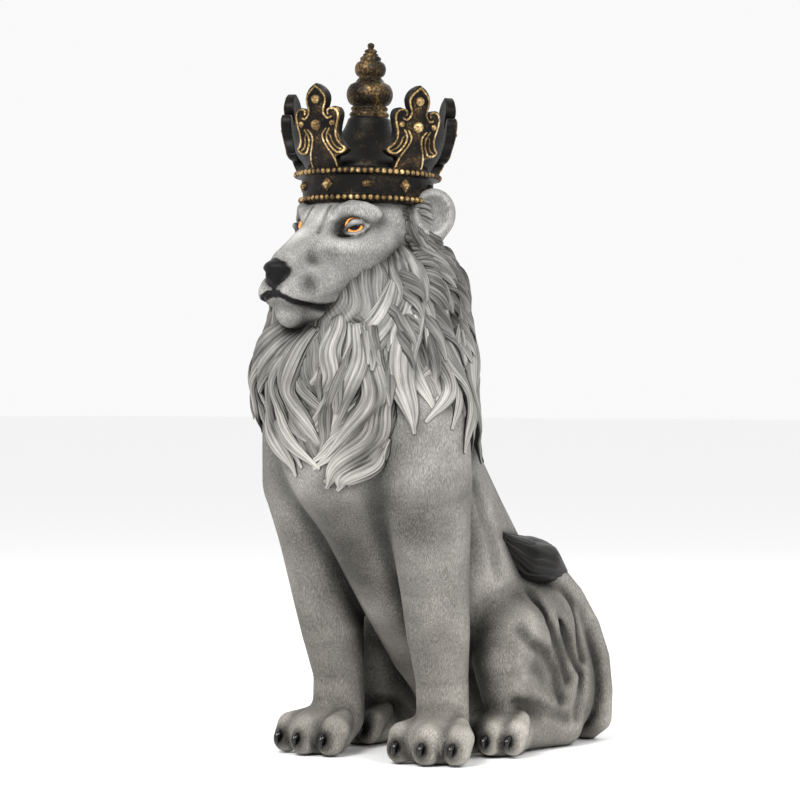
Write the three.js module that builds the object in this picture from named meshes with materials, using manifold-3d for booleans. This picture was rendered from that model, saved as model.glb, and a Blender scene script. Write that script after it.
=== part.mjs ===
// A seated lion wearing a crown: a floor sculpture in two castings, the lion and its crown.
// Millimetres, +Z up, the lion looks along -Y and its left side is +X.
import * as THREE from "three";
import { mergeVertices } from "three/addons/utils/BufferGeometryUtils.js";
import Module from "manifold-3d";

// Driving dimensions
const LION_HEIGHT = 579; // floor to the centre of the plane that the crown's rim lies in
const CROWN_HEIGHT = 174; // rim plane to the tip of the finial
const RIM_RADIUS = 67; // band at its lower edge
const BAND_RADIUS = 70; // band below its upper moulding
const BAND_HEIGHT = 36;
const MOULDING_RADIUS = 3.2; // section of the two mouldings that carry the beads
const LOWER_MOULDING = [68.2, 5]; // radius and height of their centre lines
const UPPER_MOULDING = [73.8, 32];
const FINIAL_BULB_RADIUS = 24.5;
const FLEUR_COUNT = 5;
const FLEUR_HEIGHT = 85;
const FLEUR_HALF_WIDTH = 33.5;
const FLEUR_THICKNESS = 11;
const FLEUR_ROOT_RADIUS = 68.5;
const FLEUR_FLARE = 13; // how far a fleur sweeps out from its root
const FLARE_HEIGHT = 45; // height over which it does so
const FLEUR_LEAN = 6; // how far it leans out besides, from root to tip
const FLEUR_BEND_RADIUS = 160; // of the plate across its width
const STUD_COUNT = 2 * FLEUR_COUNT; // pyramids under the fleurs, domes between them
const STUD_SUNK = 3; // how deep a pyramid's foot lies in the band
const PYRAMID_HALF_WIDTH = 7.8; // where it leaves the band
const PYRAMID_DEPTH = 5.5;
const DOME_RADIUS = 4.9;
const SEAT_RADIUS = 54; // raised seat on the skull that the crown drops over
const SEAT_DEPTH = 12;
const SEAT_CLEARANCE = 1.5; // round the seat
const GAP = 0.3; // between faces that rest on each other
const CROWN_CLEARANCE = 1.5; // between the crown and the ears and hair beside it

// Pose of the head and its crown
const HEAD_YAW = 5; // degrees, to the lion's right
const CROWN_TILT = 2; // degrees, backwards
const CROWN_TURN = 7; // degrees that the crown is turned on the head
const SEAT_AT = [-9.4, -87, LION_HEIGHT]; // centre of the rim plane

// Fineness of the faceted surface
const CELL = 5; // edge of a sampling cell
const LION_TRIANGLES = 5080;
const HEAD_IMPORTANCE = 5; // how much more closely the face keeps its form
const FACE_AT = [60, 0, -70]; // middle of the face, in the head's own frame
const FACE_REACH = 110; // radius round it that is kept more closely
const SPOT_REACH = 1.5; // lengths of an edge that its collapsed point may lie from its middle
const LEAST_TURN = 0.3; // cosine of the most that a face may turn when an edge collapses

// Forms below are written at the height that they were drawn at, and scaled to LION_HEIGHT.
const DRAWN_HEIGHT = 579;
const UNIT = LION_HEIGHT / DRAWN_HEIGHT;
const RAD = Math.PI / 180;

const wasm = await Module();
wasm.setup();

// Signed distance to an ellipsoid, turned by degrees about X, then Y, then Z.
function ball(centre, radii, turn = [0, 0, 0]) {
  const axes = new THREE.Matrix4().makeRotationFromEuler(
    new THREE.Euler(turn[0] * RAD, turn[1] * RAD, turn[2] * RAD, "ZYX"),
  ).elements;
  const [rx, ry, rz] = radii;
  const reach = Math.max(...radii);
  return {
    low: centre.map((c) => c - reach),
    high: centre.map((c) => c + reach),
    distance(x, y, z) {
      const dx = x - centre[0];
      const dy = y - centre[1];
      const dz = z - centre[2];
      const u = (axes[0] * dx + axes[1] * dy + axes[2] * dz) / rx;
      const v = (axes[4] * dx + axes[5] * dy + axes[6] * dz) / ry;
      const w = (axes[8] * dx + axes[9] * dy + axes[10] * dz) / rz;
      const k = Math.hypot(u, v, w);
      const g = Math.hypot(u / rx, v / ry, w / rz);
      return g < 1e-9 ? -Math.min(rx, ry, rz) : (k * (k - 1)) / g;
    },
  };
}

// Signed distance to a chain of tapered capsules through [x, y, z, radius] points.
// flat squeezes the chain along each axis about its first point.
function limb(points, flat = [1, 1, 1]) {
  const [ox, oy, oz] = points[0];
  const [fx, fy, fz] = flat;
  const least = Math.min(...flat);
  const squeezed = points.map(([x, y, z, r]) => [
    (x - ox) / fx,
    (y - oy) / fy,
    (z - oz) / fz,
    r,
  ]);
  const low = [0, 1, 2].map((i) =>
    Math.min(...points.map((p) => p[i] - p[3] * flat[i])),
  );
  const high = [0, 1, 2].map((i) =>
    Math.max(...points.map((p) => p[i] + p[3] * flat[i])),
  );
  const links = squeezed.slice(1).map((b, i) => {
    const a = squeezed[i];
    const d = [b[0] - a[0], b[1] - a[1], b[2] - a[2]];
    return { a, d, dr: b[3] - a[3], dd: d[0] * d[0] + d[1] * d[1] + d[2] * d[2] };
  });
  return {
    low,
    high,
    distance(x, y, z) {
      const px = (x - ox) / fx;
      const py = (y - oy) / fy;
      const pz = (z - oz) / fz;
      let best = Infinity;
      for (const { a, d, dr, dd } of links) {
        const qx = px - a[0];
        const qy = py - a[1];
        const qz = pz - a[2];
        const t = Math.min(1, Math.max(0, (qx * d[0] + qy * d[1] + qz * d[2]) / dd));
        const gap = Math.hypot(qx - t * d[0], qy - t * d[1], qz - t * d[2]);
        best = Math.min(best, gap - a[3] - t * dr);
      }
      return best * least;
    },
  };
}

// The clay: forms joined and carved in order, each with its own softness.
class Clay {
  steps = [];
  add(form, soft = 12) {
    this.steps.push({ form, soft, carve: false });
  }
  carve(form, soft = 6) {
    this.steps.push({ form, soft, carve: true });
  }
  pair(make, soft = 12) {
    for (const side of [1, -1]) this.add(make(side), soft);
  }
  carvePair(make, soft = 6) {
    for (const side of [1, -1]) this.carve(make(side), soft);
  }
  bounds() {
    const low = [Infinity, Infinity, Infinity];
    const high = [-Infinity, -Infinity, -Infinity];
    for (const { form, carve } of this.steps)
      if (!carve)
        for (let i = 0; i < 3; i++) {
          low[i] = Math.min(low[i], form.low[i]);
          high[i] = Math.max(high[i], form.high[i]);
        }
    return { low, high };
  }
  static blend(d, e, soft, carve) {
    if (carve) return -Clay.blend(-d, e, soft, false);
    const h = Math.max(soft - Math.abs(d - e), 0) / soft;
    return Math.min(d, e) - (h * h * soft) / 4;
  }
  distance(x, y, z) {
    let d = 1e3;
    for (const { form, soft, carve } of this.steps)
      d = Clay.blend(d, form.distance(x, y, z), soft, carve);
    return d;
  }
}

// Samples the clay on a grid and returns it as a closed mesh, six tetrahedra to a cell.
function polygonise(clay, cell, low, high) {
  const n = [0, 1, 2].map((i) => Math.ceil((high[i] - low[i]) / cell) + 3);
  const origin = [0, 1, 2].map((i) => low[i] - cell);
  const strideY = n[0];
  const strideZ = n[0] * n[1];
  const values = new Float32Array(n[0] * n[1] * n[2]).fill(1e3);
  for (const { form, soft, carve } of clay.steps) {
    const reach = soft + 2 * cell;
    const from = [0, 1, 2].map((i) =>
      Math.max(0, Math.floor((form.low[i] - reach - origin[i]) / cell)),
    );
    const to = [0, 1, 2].map((i) =>
      Math.min(n[i] - 1, Math.ceil((form.high[i] + reach - origin[i]) / cell)),
    );
    for (let k = from[2]; k <= to[2]; k++)
      for (let j = from[1]; j <= to[1]; j++)
        for (let i = from[0]; i <= to[0]; i++) {
          const at = i + j * strideY + k * strideZ;
          const e = form.distance(
            origin[0] + i * cell,
            origin[1] + j * cell,
            origin[2] + k * cell,
          );
          values[at] = Clay.blend(values[at], e, soft, carve);
        }
  }
  // The outermost layer is outside, so the surface closes.
  for (let k = 0; k < n[2]; k++)
    for (let j = 0; j < n[1]; j++)
      for (let i = 0; i < n[0]; i++)
        if (!i || !j || !k || i === n[0] - 1 || j === n[1] - 1 || k === n[2] - 1)
          values[i + j * strideY + k * strideZ] = cell;

  const positions = [];
  const triangles = [];
  const crossings = new Map();
  const crossing = (a, b) => {
    const key = a < b ? a * values.length + b : b * values.length + a;
    let index = crossings.get(key);
    if (index === undefined) {
      const t = Math.min(0.95, Math.max(0.05, values[a] / (values[a] - values[b])));
      index = positions.length / 3;
      for (let i = 0; i < 3; i++) {
        const stride = [1, strideY, strideZ][i];
        const pa = Math.floor(a / stride) % n[i];
        const pb = Math.floor(b / stride) % n[i];
        positions.push(origin[i] + cell * (pa + t * (pb - pa)));
      }
      crossings.set(key, index);
    }
    return index;
  };
  // A corner's number holds its x, y and z as bits; each tetrahedron has the long diagonal.
  const at = (bits) =>
    (bits & 1 ? 1 : 0) + (bits & 2 ? strideY : 0) + (bits & 4 ? strideZ : 0);
  const corners = [0, 1, 2, 3, 4, 5, 6, 7].map(at);
  const tetrahedra = [
    [0, 1, 3, 7],
    [0, 3, 2, 7],
    [0, 2, 6, 7],
    [0, 6, 4, 7],
    [0, 4, 5, 7],
    [0, 5, 1, 7],
  ].map((t) => t.map(at));
  for (let k = 0; k < n[2] - 1; k++)
    for (let j = 0; j < n[1] - 1; j++)
      for (let i = 0; i < n[0] - 1; i++) {
        const base = i + j * strideY + k * strideZ;
        const first = values[base] < 0;
        if (corners.every((c) => values[base + c] < 0 === first)) continue;
        for (const t of tetrahedra) {
          const [a, b, c, d] = t.map((s) => base + s);
          const code =
            (values[a] < 0 ? 1 : 0) |
            (values[b] < 0 ? 2 : 0) |
            (values[c] < 0 ? 4 : 0) |
            (values[d] < 0 ? 8 : 0);
          if (code === 0 || code === 15) continue;
          const flip = code > 7;
          const cases = {
            1: [[a, b, a, c, a, d]],
            2: [[b, a, b, d, b, c]],
            4: [[c, a, c, b, c, d]],
            7: [[d, a, d, b, d, c]],
            3: [[a, c, a, d, b, d], [a, c, b, d, b, c]],
            5: [[a, b, c, b, c, d], [a, b, c, d, a, d]],
            6: [[a, b, b, d, c, d], [a, b, c, d, a, c]],
          }[flip ? 15 - code : code];
          for (const e of cases) {
            const tri = [crossing(e[0], e[1]), crossing(e[2], e[3]), crossing(e[4], e[5])];
            triangles.push(...(flip ? tri.reverse() : tri));
          }
        }
      }
  return { positions: Float64Array.from(positions), triangles: Uint32Array.from(triangles) };
}

// Keeps the outer skin: the shell with the most triangles.
function outerShell({ positions, triangles }) {
  const parent = Uint32Array.from({ length: positions.length / 3 }, (_, i) => i);
  const root = (v) => {
    while (parent[v] !== v) {
      parent[v] = parent[parent[v]];
      v = parent[v];
    }
    return v;
  };
  for (let i = 0; i < triangles.length; i += 3) {
    parent[root(triangles[i + 1])] = root(triangles[i]);
    parent[root(triangles[i + 2])] = root(triangles[i]);
  }
  const sizes = new Map();
  for (let i = 0; i < triangles.length; i += 3) {
    const shell = root(triangles[i]);
    sizes.set(shell, (sizes.get(shell) ?? 0) + 1);
  }
  const [largest] = [...sizes].sort((a, b) => b[1] - a[1])[0];
  const kept = [];
  for (let i = 0; i < triangles.length; i += 3)
    if (root(triangles[i]) === largest) kept.push(...triangles.slice(i, i + 3));
  return { positions, triangles: Uint32Array.from(kept) };
}

// Edge collapse by quadric error down to a number of triangles. It keeps the mesh closed and
// manifold, and turns no face over.
function simplify({ positions, triangles }, target, importance) {
  const vertexCount = positions.length / 3;
  const quadrics = new Float64Array(vertexCount * 10);
  const faces = [];
  const around = Array.from({ length: vertexCount }, () => new Set());
  const P = (v) => [positions[3 * v], positions[3 * v + 1], positions[3 * v + 2]];
  const normalOf = (p, q, r) => {
    const [ax, ay, az] = [q[0] - p[0], q[1] - p[1], q[2] - p[2]];
    const [bx, by, bz] = [r[0] - p[0], r[1] - p[1], r[2] - p[2]];
    return [ay * bz - az * by, az * bx - ax * bz, ax * by - ay * bx];
  };
  for (let f = 0; f < triangles.length / 3; f++) {
    const face = [triangles[3 * f], triangles[3 * f + 1], triangles[3 * f + 2]];
    faces.push(face);
    const [p, q, r] = face.map(P);
    const m = normalOf(p, q, r);
    const size = Math.hypot(...m) || 1e-12;
    const [a, b, c] = m.map((x) => x / size);
    const d = -(a * p[0] + b * p[1] + c * p[2]);
    const weight = size * importance(...p);
    const k = [a * a, a * b, a * c, a * d, b * b, b * c, b * d, c * c, c * d, d * d];
    for (const v of face) {
      around[v].add(f);
      for (let i = 0; i < 10; i++) quadrics[10 * v + i] += k[i] * weight;
    }
  }
  const errorAt = (q, [x, y, z]) =>
    q[0] * x * x + 2 * q[1] * x * y + 2 * q[2] * x * z + 2 * q[3] * x +
    q[4] * y * y + 2 * q[5] * y * z + 2 * q[6] * y +
    q[7] * z * z + 2 * q[8] * z + q[9];
  const best = (v, w) => {
    const q = new Array(10);
    for (let i = 0; i < 10; i++) q[i] = quadrics[10 * v + i] + quadrics[10 * w + i];
    const [a, b] = [P(v), P(w)];
    const middle = a.map((x, i) => (x + b[i]) / 2);
    const spots = [a, b, middle];
    const det =
      q[0] * (q[4] * q[7] - q[5] * q[5]) -
      q[1] * (q[1] * q[7] - q[5] * q[2]) +
      q[2] * (q[1] * q[5] - q[4] * q[2]);
    const trace = q[0] + q[4] + q[7];
    if (Math.abs(det) > 1e-4 * trace ** 3) {
      const [u, v1, w1] = [-q[3], -q[6], -q[8]];
      spots.unshift([
        (u * (q[4] * q[7] - q[5] * q[5]) - q[1] * (v1 * q[7] - q[5] * w1) +
          q[2] * (v1 * q[5] - q[4] * w1)) / det,
        (q[0] * (v1 * q[7] - q[5] * w1) - u * (q[1] * q[7] - q[5] * q[2]) +
          q[2] * (q[1] * w1 - v1 * q[2])) / det,
        (q[0] * (q[4] * w1 - v1 * q[5]) - q[1] * (q[1] * w1 - v1 * q[2]) +
          u * (q[1] * q[5] - q[4] * q[2])) / det,
      ]);
    }
    const long = Math.hypot(a[0] - b[0], a[1] - b[1], a[2] - b[2]);
    let found = null;
    for (const s of spots) {
      if (Math.hypot(s[0] - middle[0], s[1] - middle[1], s[2] - middle[2]) > SPOT_REACH * long)
        continue;
      const cost = Math.abs(errorAt(q, s)) + 1e-4 * long * long * long * long;
      if (!found || cost < found.cost) found = { cost, spot: s };
    }
    return found;
  };
  // A binary heap of candidate collapses; a stale one is recognised by its stamps.
  const heap = [];
  const stamp = new Uint32Array(vertexCount);
  const push = (item) => {
    let i = heap.push(item) - 1;
    while (i && heap[(i - 1) >> 1].cost > item.cost) {
      heap[i] = heap[(i - 1) >> 1];
      i = (i - 1) >> 1;
    }
    heap[i] = item;
  };
  const pop = () => {
    const top = heap[0];
    const last = heap.pop();
    if (heap.length) {
      let i = 0;
      for (;;) {
        let child = 2 * i + 1;
        if (child >= heap.length) break;
        if (child + 1 < heap.length && heap[child + 1].cost < heap[child].cost) child++;
        if (heap[child].cost >= last.cost) break;
        heap[i] = heap[child];
        i = child;
      }
      heap[i] = last;
    }
    return top;
  };
  const offer = (v, w) => {
    const { cost, spot } = best(v, w);
    push({ cost, spot, v, w, sv: stamp[v], sw: stamp[w] });
  };
  const ring = (v) => {
    const near = new Set();
    for (const f of around[v]) for (const u of faces[f]) if (u !== v) near.add(u);
    return near;
  };
  for (let v = 0; v < vertexCount; v++) for (const w of ring(v)) if (v < w) offer(v, w);
  let left = faces.length;
  while (left > target && heap.length) {
    const { v, w, spot, sv, sw } = pop();
    if (stamp[v] !== sv || stamp[w] !== sw) continue;
    const ringV = ring(v);
    const ringW = ring(w);
    let shared = 0;
    for (const u of ringV) if (ringW.has(u)) shared++;
    if (shared !== 2) continue;
    const turns = [v, w].some((end, i) =>
      [...around[end]].some((f) => {
        if (faces[f].includes(i ? v : w)) return false;
        const before = normalOf(...faces[f].map(P));
        const after = normalOf(...faces[f].map((u) => (u === end ? spot : P(u))));
        const dot = before[0] * after[0] + before[1] * after[1] + before[2] * after[2];
        return dot < LEAST_TURN * Math.hypot(...before) * Math.hypot(...after);
      }),
    );
    if (turns) continue;
    for (const f of [...around[w]]) {
      if (faces[f].includes(v)) {
        for (const u of faces[f]) around[u].delete(f);
        faces[f] = null;
        left--;
      } else {
        faces[f][faces[f].indexOf(w)] = v;
        around[v].add(f);
      }
    }
    around[w].clear();
    stamp[w]++;
    stamp[v]++;
    positions.set(spot, 3 * v);
    for (let i = 0; i < 10; i++) quadrics[10 * v + i] += quadrics[10 * w + i];
    for (const u of ring(v)) offer(v, u);
  }
  return { positions, triangles: Uint32Array.from(faces.filter(Boolean).flat()) };
}

// Meshes to solids and back
function solidOfArrays({ positions, triangles }) {
  const geometry = new THREE.BufferGeometry();
  geometry.setAttribute("position", new THREE.BufferAttribute(Float32Array.from(positions), 3));
  geometry.setIndex(new THREE.BufferAttribute(Uint32Array.from(triangles), 1));
  return solidOf(geometry);
}

function solidOf(geometry) {
  const bare = geometry.clone();
  bare.deleteAttribute("normal");
  bare.deleteAttribute("uv");
  const merged = mergeVertices(bare, 1e-4);
  const at = merged.attributes.position.array;
  const index = merged.index.array;
  const kept = [];
  let volume = 0;
  for (let i = 0; i < index.length; i += 3) {
    const [a, b, c] = [index[i], index[i + 1], index[i + 2]];
    if (a === b || b === c || c === a) continue;
    kept.push([a, b, c]);
    const [p, q, r] = [3 * a, 3 * b, 3 * c];
    volume +=
      at[p] * (at[q + 1] * at[r + 2] - at[q + 2] * at[r + 1]) +
      at[p + 1] * (at[q + 2] * at[r] - at[q] * at[r + 2]) +
      at[p + 2] * (at[q] * at[r + 1] - at[q + 1] * at[r]);
  }
  if (volume < 0) kept.forEach((t) => t.reverse());
  return new wasm.Manifold(
    new wasm.Mesh({
      numProp: 3,
      vertProperties: Float32Array.from(at),
      triVerts: Uint32Array.from(kept.flat()),
    }),
  );
}

function geometryOf(solid) {
  const mesh = solid.getMesh();
  const geometry = new THREE.BufferGeometry();
  geometry.setAttribute("position", new THREE.BufferAttribute(mesh.vertProperties, mesh.numProp));
  geometry.setIndex(new THREE.BufferAttribute(mesh.triVerts, 1));
  const flat = geometry.toNonIndexed();
  flat.computeVertexNormals();
  return flat;
}

// The head's own frame: f forward, l to its left, u up, from the centre of the rim plane.
const yaw = HEAD_YAW * RAD;
function head(f, l, u) {
  const [x, y, z] = SEAT_AT;
  return [
    x / UNIT - f * Math.sin(yaw) + l * Math.cos(yaw),
    y / UNIT - f * Math.cos(yaw) - l * Math.sin(yaw),
    z / UNIT + u,
  ];
}
const headTurn = [0, 0, -HEAD_YAW];

function trunk(clay) {
  clay.add(
    limb([
      [0, -76, 365, 84],
      [0, -46, 300, 86],
      [0, 4, 230, 88],
      [0, 64, 152, 90],
      [0, 108, 98, 88],
    ]),
    10,
  );
  clay.add(ball([0, 116, 88], [86, 86, 94]), 20);
  clay.add(ball([0, -118, 322], [66, 66, 84]), 30);
  // Breast bone, running down between the forelegs to the belly
  clay.add(
    limb([
      [0, -128, 300, 50],
      [0, -92, 236, 44],
      [0, -46, 168, 40],
      [0, 4, 110, 40],
      [0, 60, 70, 44],
    ]),
    20,
  );
  // Neck under the mane
  clay.add(
    limb([
      [-4, -98, 350, 94],
      [-8, -91, 405, 105],
      [-10, -85, 458, 96],
      [-9, -72, 506, 68],
    ]),
    24,
  );
  // Folds of loose skin on the flanks
  clay.carvePair(
    (side) =>
      limb([
        [side * 92, -52, 290, 3],
        [side * 94, -26, 215, 4],
        [side * 90, -14, 150, 3],
      ]),
    12,
  );
  clay.carvePair(
    (side) =>
      limb([
        [side * 88, -24, 288, 3],
        [side * 93, 4, 226, 4],
        [side * 92, 14, 190, 3],
      ]),
    12,
  );
}

function foreleg(clay, side) {
  clay.add(
    limb(
      [
        [side * 74, -102, 350, 56],
        [side * 78, -100, 292, 54],
        [side * 77, -88, 235, 45],
        [side * 75, -79, 180, 39],
        [side * 72, -69, 132, 36],
        [side * 70, -60, 84, 30],
        [side * 71, -60, 38, 30],
      ],
      [0.86, 1, 1],
    ),
    16,
  );
}

// A paw: its pad, and four toes with nails, ahead of the middle of the wrist. splay turns it
// outwards in degrees, and wide is a share of the width of a fore paw.
const TOES = [
  // lateral place, and reach as a share of the longest toe's
  [-27, 0.82],
  [-10, 1],
  [10, 1],
  [27, 0.82],
];

function paw(clay, [x, y], splay, length, wide = 1) {
  const turn = splay * RAD;
  const at = (lateral, ahead, z) => [
    x + wide * lateral * Math.cos(turn) + ahead * Math.sin(turn),
    y + wide * lateral * Math.sin(turn) - ahead * Math.cos(turn),
    z,
  ];
  clay.add(ball(at(0, length * 0.42, 22), [35 * wide, length * 0.62, 25], [0, 0, splay]), 14);
  for (const [lateral, share] of TOES) {
    const reach = length * share;
    clay.add(
      limb([
        [...at(lateral * 0.8, reach * 0.35, 34), 11],
        [...at(lateral, reach - 8, 27), 12.5],
        [...at(lateral, reach, 13), 11],
      ]),
      5,
    );
    clay.add(
      limb([
        [...at(lateral, reach + 8, 18), 4.5],
        [...at(lateral, reach + 13, 7), 2.6],
      ]),
      2,
    );
  }
}

function haunch(clay, side) {
  clay.add(ball([side * 70, 102, 100], [42, 80, 88], [-14, 0, 0]), 14);
  clay.add(
    limb([
      [side * 68, 104, 138, 42],
      [side * 84, 40, 128, 38],
      [side * 88, 18, 100, 30],
      [side * 88, 22, 66, 24],
    ]),
    18,
  );
  clay.add(
    limb([
      [side * 88, 26, 84, 24],
      [side * 91, 76, 46, 22],
      [side * 88, 122, 24, 20],
    ]),
    12,
  );
  clay.add(
    limb([
      [side * 88, 130, 18, 18],
      [side * 90, 70, 22, 20],
      [side * 92, 30, 24, 22],
    ]),
    12,
  );
  clay.add(ball([side * 76, 136, 62], [36, 52, 58]), 14);
  // Muscles of the thigh, parted by three folds
  for (const [from, mid, to] of [
    [[106, 56, 158], [124, 64, 112], [120, 82, 62]],
    [[104, 84, 162], [122, 96, 116], [118, 112, 68]],
    [[98, 116, 152], [114, 128, 108], [110, 138, 66]],
  ])
    clay.carve(
      limb([
        [side * from[0], from[1], from[2], 4],
        [side * mid[0], mid[1], mid[2], 5],
        [side * to[0], to[1], to[2], 4],
      ]),
      16,
    );
}

function tail(clay) {
  clay.add(
    limb([
      [0, 184, 50, 18],
      [30, 200, 24, 17],
      [70, 200, 15, 17],
      [91, 190, 26, 17],
      [92, 192, 56, 16],
      [92, 188, 92, 15],
      [91, 170, 128, 15],
      [89, 142, 162, 15],
      [86, 110, 187, 16],
    ]),
    6,
  );
  clay.add(
    limb([
      [86, 122, 186, 16],
      [84, 96, 200, 23],
      [81, 66, 206, 22],
      [76, 36, 226, 6],
    ]),
    6,
  );
}

// The mane. A lock lies on the body: it starts at [degrees round the neck, height] and ends at
// another such place. On the way it bows to one side and sways once to each, in degrees.
const NECK_AXIS = [-8, -80];
const LOCK_STEPS = 9;
const LOCK_SUNK = 0.24; // share of its radius by which the middle of a lock lies in the body
const TIP_RADIUS = 3;
const LOCK_FULLNESS = 0.6; // power of the swelling from root to tip; less is blunter
const LOCK_START = 0.1; // share of that swelling which a lock already has at its root
const LOCK_BLEND = 3; // softness of the join between a lock and the body
const SEARCH_FROM = 170; // radius that the search for the body's surface starts at
const SEARCH_STEPS = 60;

const BREAST_LOCKS = [
  // from, to, bow, sway, radius
  [[6, 452], [8, 326], -14, -1, 14],
  [[-9, 420], [2, 306], -14, -4, 13],
  [[20, 455], [10, 372], 4, 0, 12],
  [[31, 455], [9, 324], 8, 2, 16],
  [[40, 430], [8, 306], 15, -3, 16],
  [[46, 380], [6, 286], 10, 0, 15],
  [[45, 330], [9, 284], 7, 0, 12],
  [[-9, 452], [-57, 342], -16, 0, 21],
  [[-3, 440], [-42, 350], -14, 0, 15],
  [[-26, 396], [-3, 298], -12, 0, 14],
  [[58, 500], [37, 371], -8, 4, 14],
];
// Locks of the left side; the right side has their mirror images.
const SIDE_LOCKS = [
  [[67, 505], [63, 342], -10, 3, 17],
  [[74, 470], [72, 354], 4, -3, 12],
  [[88, 500], [81, 322], 4, -7, 17],
  [[101, 500], [98, 316], 6, 5, 15],
  [[112, 505], [120, 316], -5, 5, 20],
];
// Rows behind, which overlap like tiles: height of their roots, and length
const BACK_ROWS = [
  [432, 122],
  [490, 114],
  [545, 96],
];
const BACK_LOCKS = 6;
const BACK_FROM = 118; // degrees round the neck
const BACK_SPACING = 22;
const BACK_LOCK_RADIUS = 21;
const RUFF_LOCKS = 5;
const RUFF_LOCK_RADIUS = 16;

function surfaceAt(clay, angle, height) {
  const [cx, cy] = NECK_AXIS;
  const [dx, dy] = [Math.sin(angle * RAD), -Math.cos(angle * RAD)];
  let reach = SEARCH_FROM;
  for (let i = 0; i < SEARCH_STEPS; i++) {
    const d = clay.distance(cx + dx * reach, cy + dy * reach, height);
    if (d < 0.2) break;
    reach -= d * 0.8;
  }
  return reach;
}

function lock(clay, [[fromAngle, fromHeight], [toAngle, toHeight], bow, sway, radius]) {
  const [cx, cy] = NECK_AXIS;
  const points = [];
  for (let i = 0; i <= LOCK_STEPS; i++) {
    const t = i / LOCK_STEPS;
    const bend = bow * Math.sin(Math.PI * t) + sway * Math.sin(2 * Math.PI * t);
    const angle = fromAngle + (toAngle - fromAngle) * t + bend;
    const height = fromHeight + (toHeight - fromHeight) * t;
    const swell = Math.sin(Math.PI * (LOCK_START + (1 - LOCK_START) * t)) ** LOCK_FULLNESS;
    const size = Math.max(TIP_RADIUS, radius * swell);
    const reach = surfaceAt(clay, angle, height) - LOCK_SUNK * size;
    points.push([
      cx + reach * Math.sin(angle * RAD),
      cy - reach * Math.cos(angle * RAD),
      height,
      size,
    ]);
  }
  return limb(points);
}

function mane(clay) {
  const base = new Clay();
  base.steps = clay.steps.slice();
  const locks = [];
  BACK_ROWS.forEach(([height, length], row) => {
    const odd = row % 2;
    for (let i = 0; i < BACK_LOCKS; i++) {
      const angle = BACK_FROM + BACK_SPACING * (i + odd / 2);
      const sway = odd ? 6 : -6;
      locks.push([[angle, height], [angle + 4, height - length], 0, sway, BACK_LOCK_RADIUS]);
    }
  });
  // The ruff behind the jaw and under the ears
  for (const side of [1, -1])
    for (let i = 0; i < RUFF_LOCKS; i++) {
      const angle = side * (62 + 17 * i);
      locks.push([[angle - side * 4, 535], [angle + side * 8, 448], 0, side * 3, RUFF_LOCK_RADIUS]);
    }
  for (const [from, to, bow, sway, radius] of SIDE_LOCKS) {
    locks.push([from, to, bow, sway, radius]);
    locks.push([[-from[0], from[1]], [-to[0], to[1]], -bow, -sway, radius]);
  }
  locks.push(...BREAST_LOCKS);
  for (const row of locks) clay.add(lock(base, row), LOCK_BLEND);
}

function headForms(clay) {
  const add = (f, l, u, radii, turn, soft) =>
    clay.add(ball(head(f, l, u), radii, turn ?? headTurn), soft);
  // Skull, cheeks and jaw
  add(2, 0, -40, [60, 66, 62], null, 16);
  add(-4, 0, -8, [58, 68, 30], null, 12);
  for (const s of [1, -1]) {
    add(26, s * 34, -68, [30, 46, 38], null, 18);
    // Brow over the eye
    clay.add(
      limb([
        [...head(62, s * 16, -14), 9],
        [...head(58, s * 33, -8), 9],
        [...head(44, s * 49, -12), 9],
      ]),
      14,
    );
    // Cheek bone under the eye
    clay.add(
      limb([
        [...head(78, s * 25, -47), 11],
        [...head(60, s * 39, -45), 12],
        [...head(30, s * 52, -42), 12],
      ]),
      14,
    );
  }
  // Bridge of the nose and muzzle
  clay.add(
    limb([
      [...head(50, 0, -28), 28],
      [...head(88, 0, -50), 23],
      [...head(116, 0, -64), 18],
    ]),
    14,
  );
  for (const s of [1, -1])
    clay.add(
      limb([
        [...head(66, s * 22, -78), 26],
        [...head(100, s * 19, -84), 22],
        [...head(120, s * 13, -90), 17],
      ]),
      12,
    );
  // Nose pad
  add(132, 0, -67, [16, 9, 8], headTurn, 4);
  add(136, 0, -76, [8, 6, 9], headTurn, 4);
  // Lower jaw and chin
  clay.add(
    limb([
      [...head(44, 0, -102), 28],
      [...head(86, 0, -110), 21],
      [...head(110, 0, -112), 17],
    ]),
    8,
  );
  for (const s of [1, -1]) {
    ear(clay, s);
    // Side of the lower jaw
    clay.add(
      limb([
        [...head(36, s * 27, -96), 23],
        [...head(84, s * 15, -110), 16],
      ]),
      10,
    );
    // Eye socket, eyeball and lids
    clay.carve(ball(head(68, s * 40, -27), [14, 15, 8], headTurn), 9);
    clay.add(ball(head(54, s * 34, -27), [12.5, 13, 10.5], headTurn), 2);
    // Line of the mouth, rising to its corner
    clay.carve(
      limb([
        [...head(138, s * 2, -101), 2.4],
        [...head(116, s * 27, -110), 2.6],
        [...head(90, s * 38, -108), 2.8],
        [...head(64, s * 44, -100), 2.4],
      ]),
      3,
    );
    // Hollow beside the bridge of the nose, below the eye
    clay.carve(
      limb([
        [...head(74, s * 31, -37), 0.8],
        [...head(92, s * 27, -56), 0.8],
      ]),
      10,
    );
  }
}

function ear(clay, s) {
  const at = (f, l, u) => head(f, s * l, u);
  const turn = [0, s * 6, s * 56 - HEAD_YAW];
  clay.add(ball(at(-26, 62, -28), [20, 16, 20], headTurn), 10);
  clay.add(ball(at(-24, 73, -9), [24, 10, 27], turn), 6);
  clay.carve(ball(at(-17, 81, -7), [17, 10, 20], turn), 4);
}

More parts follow.
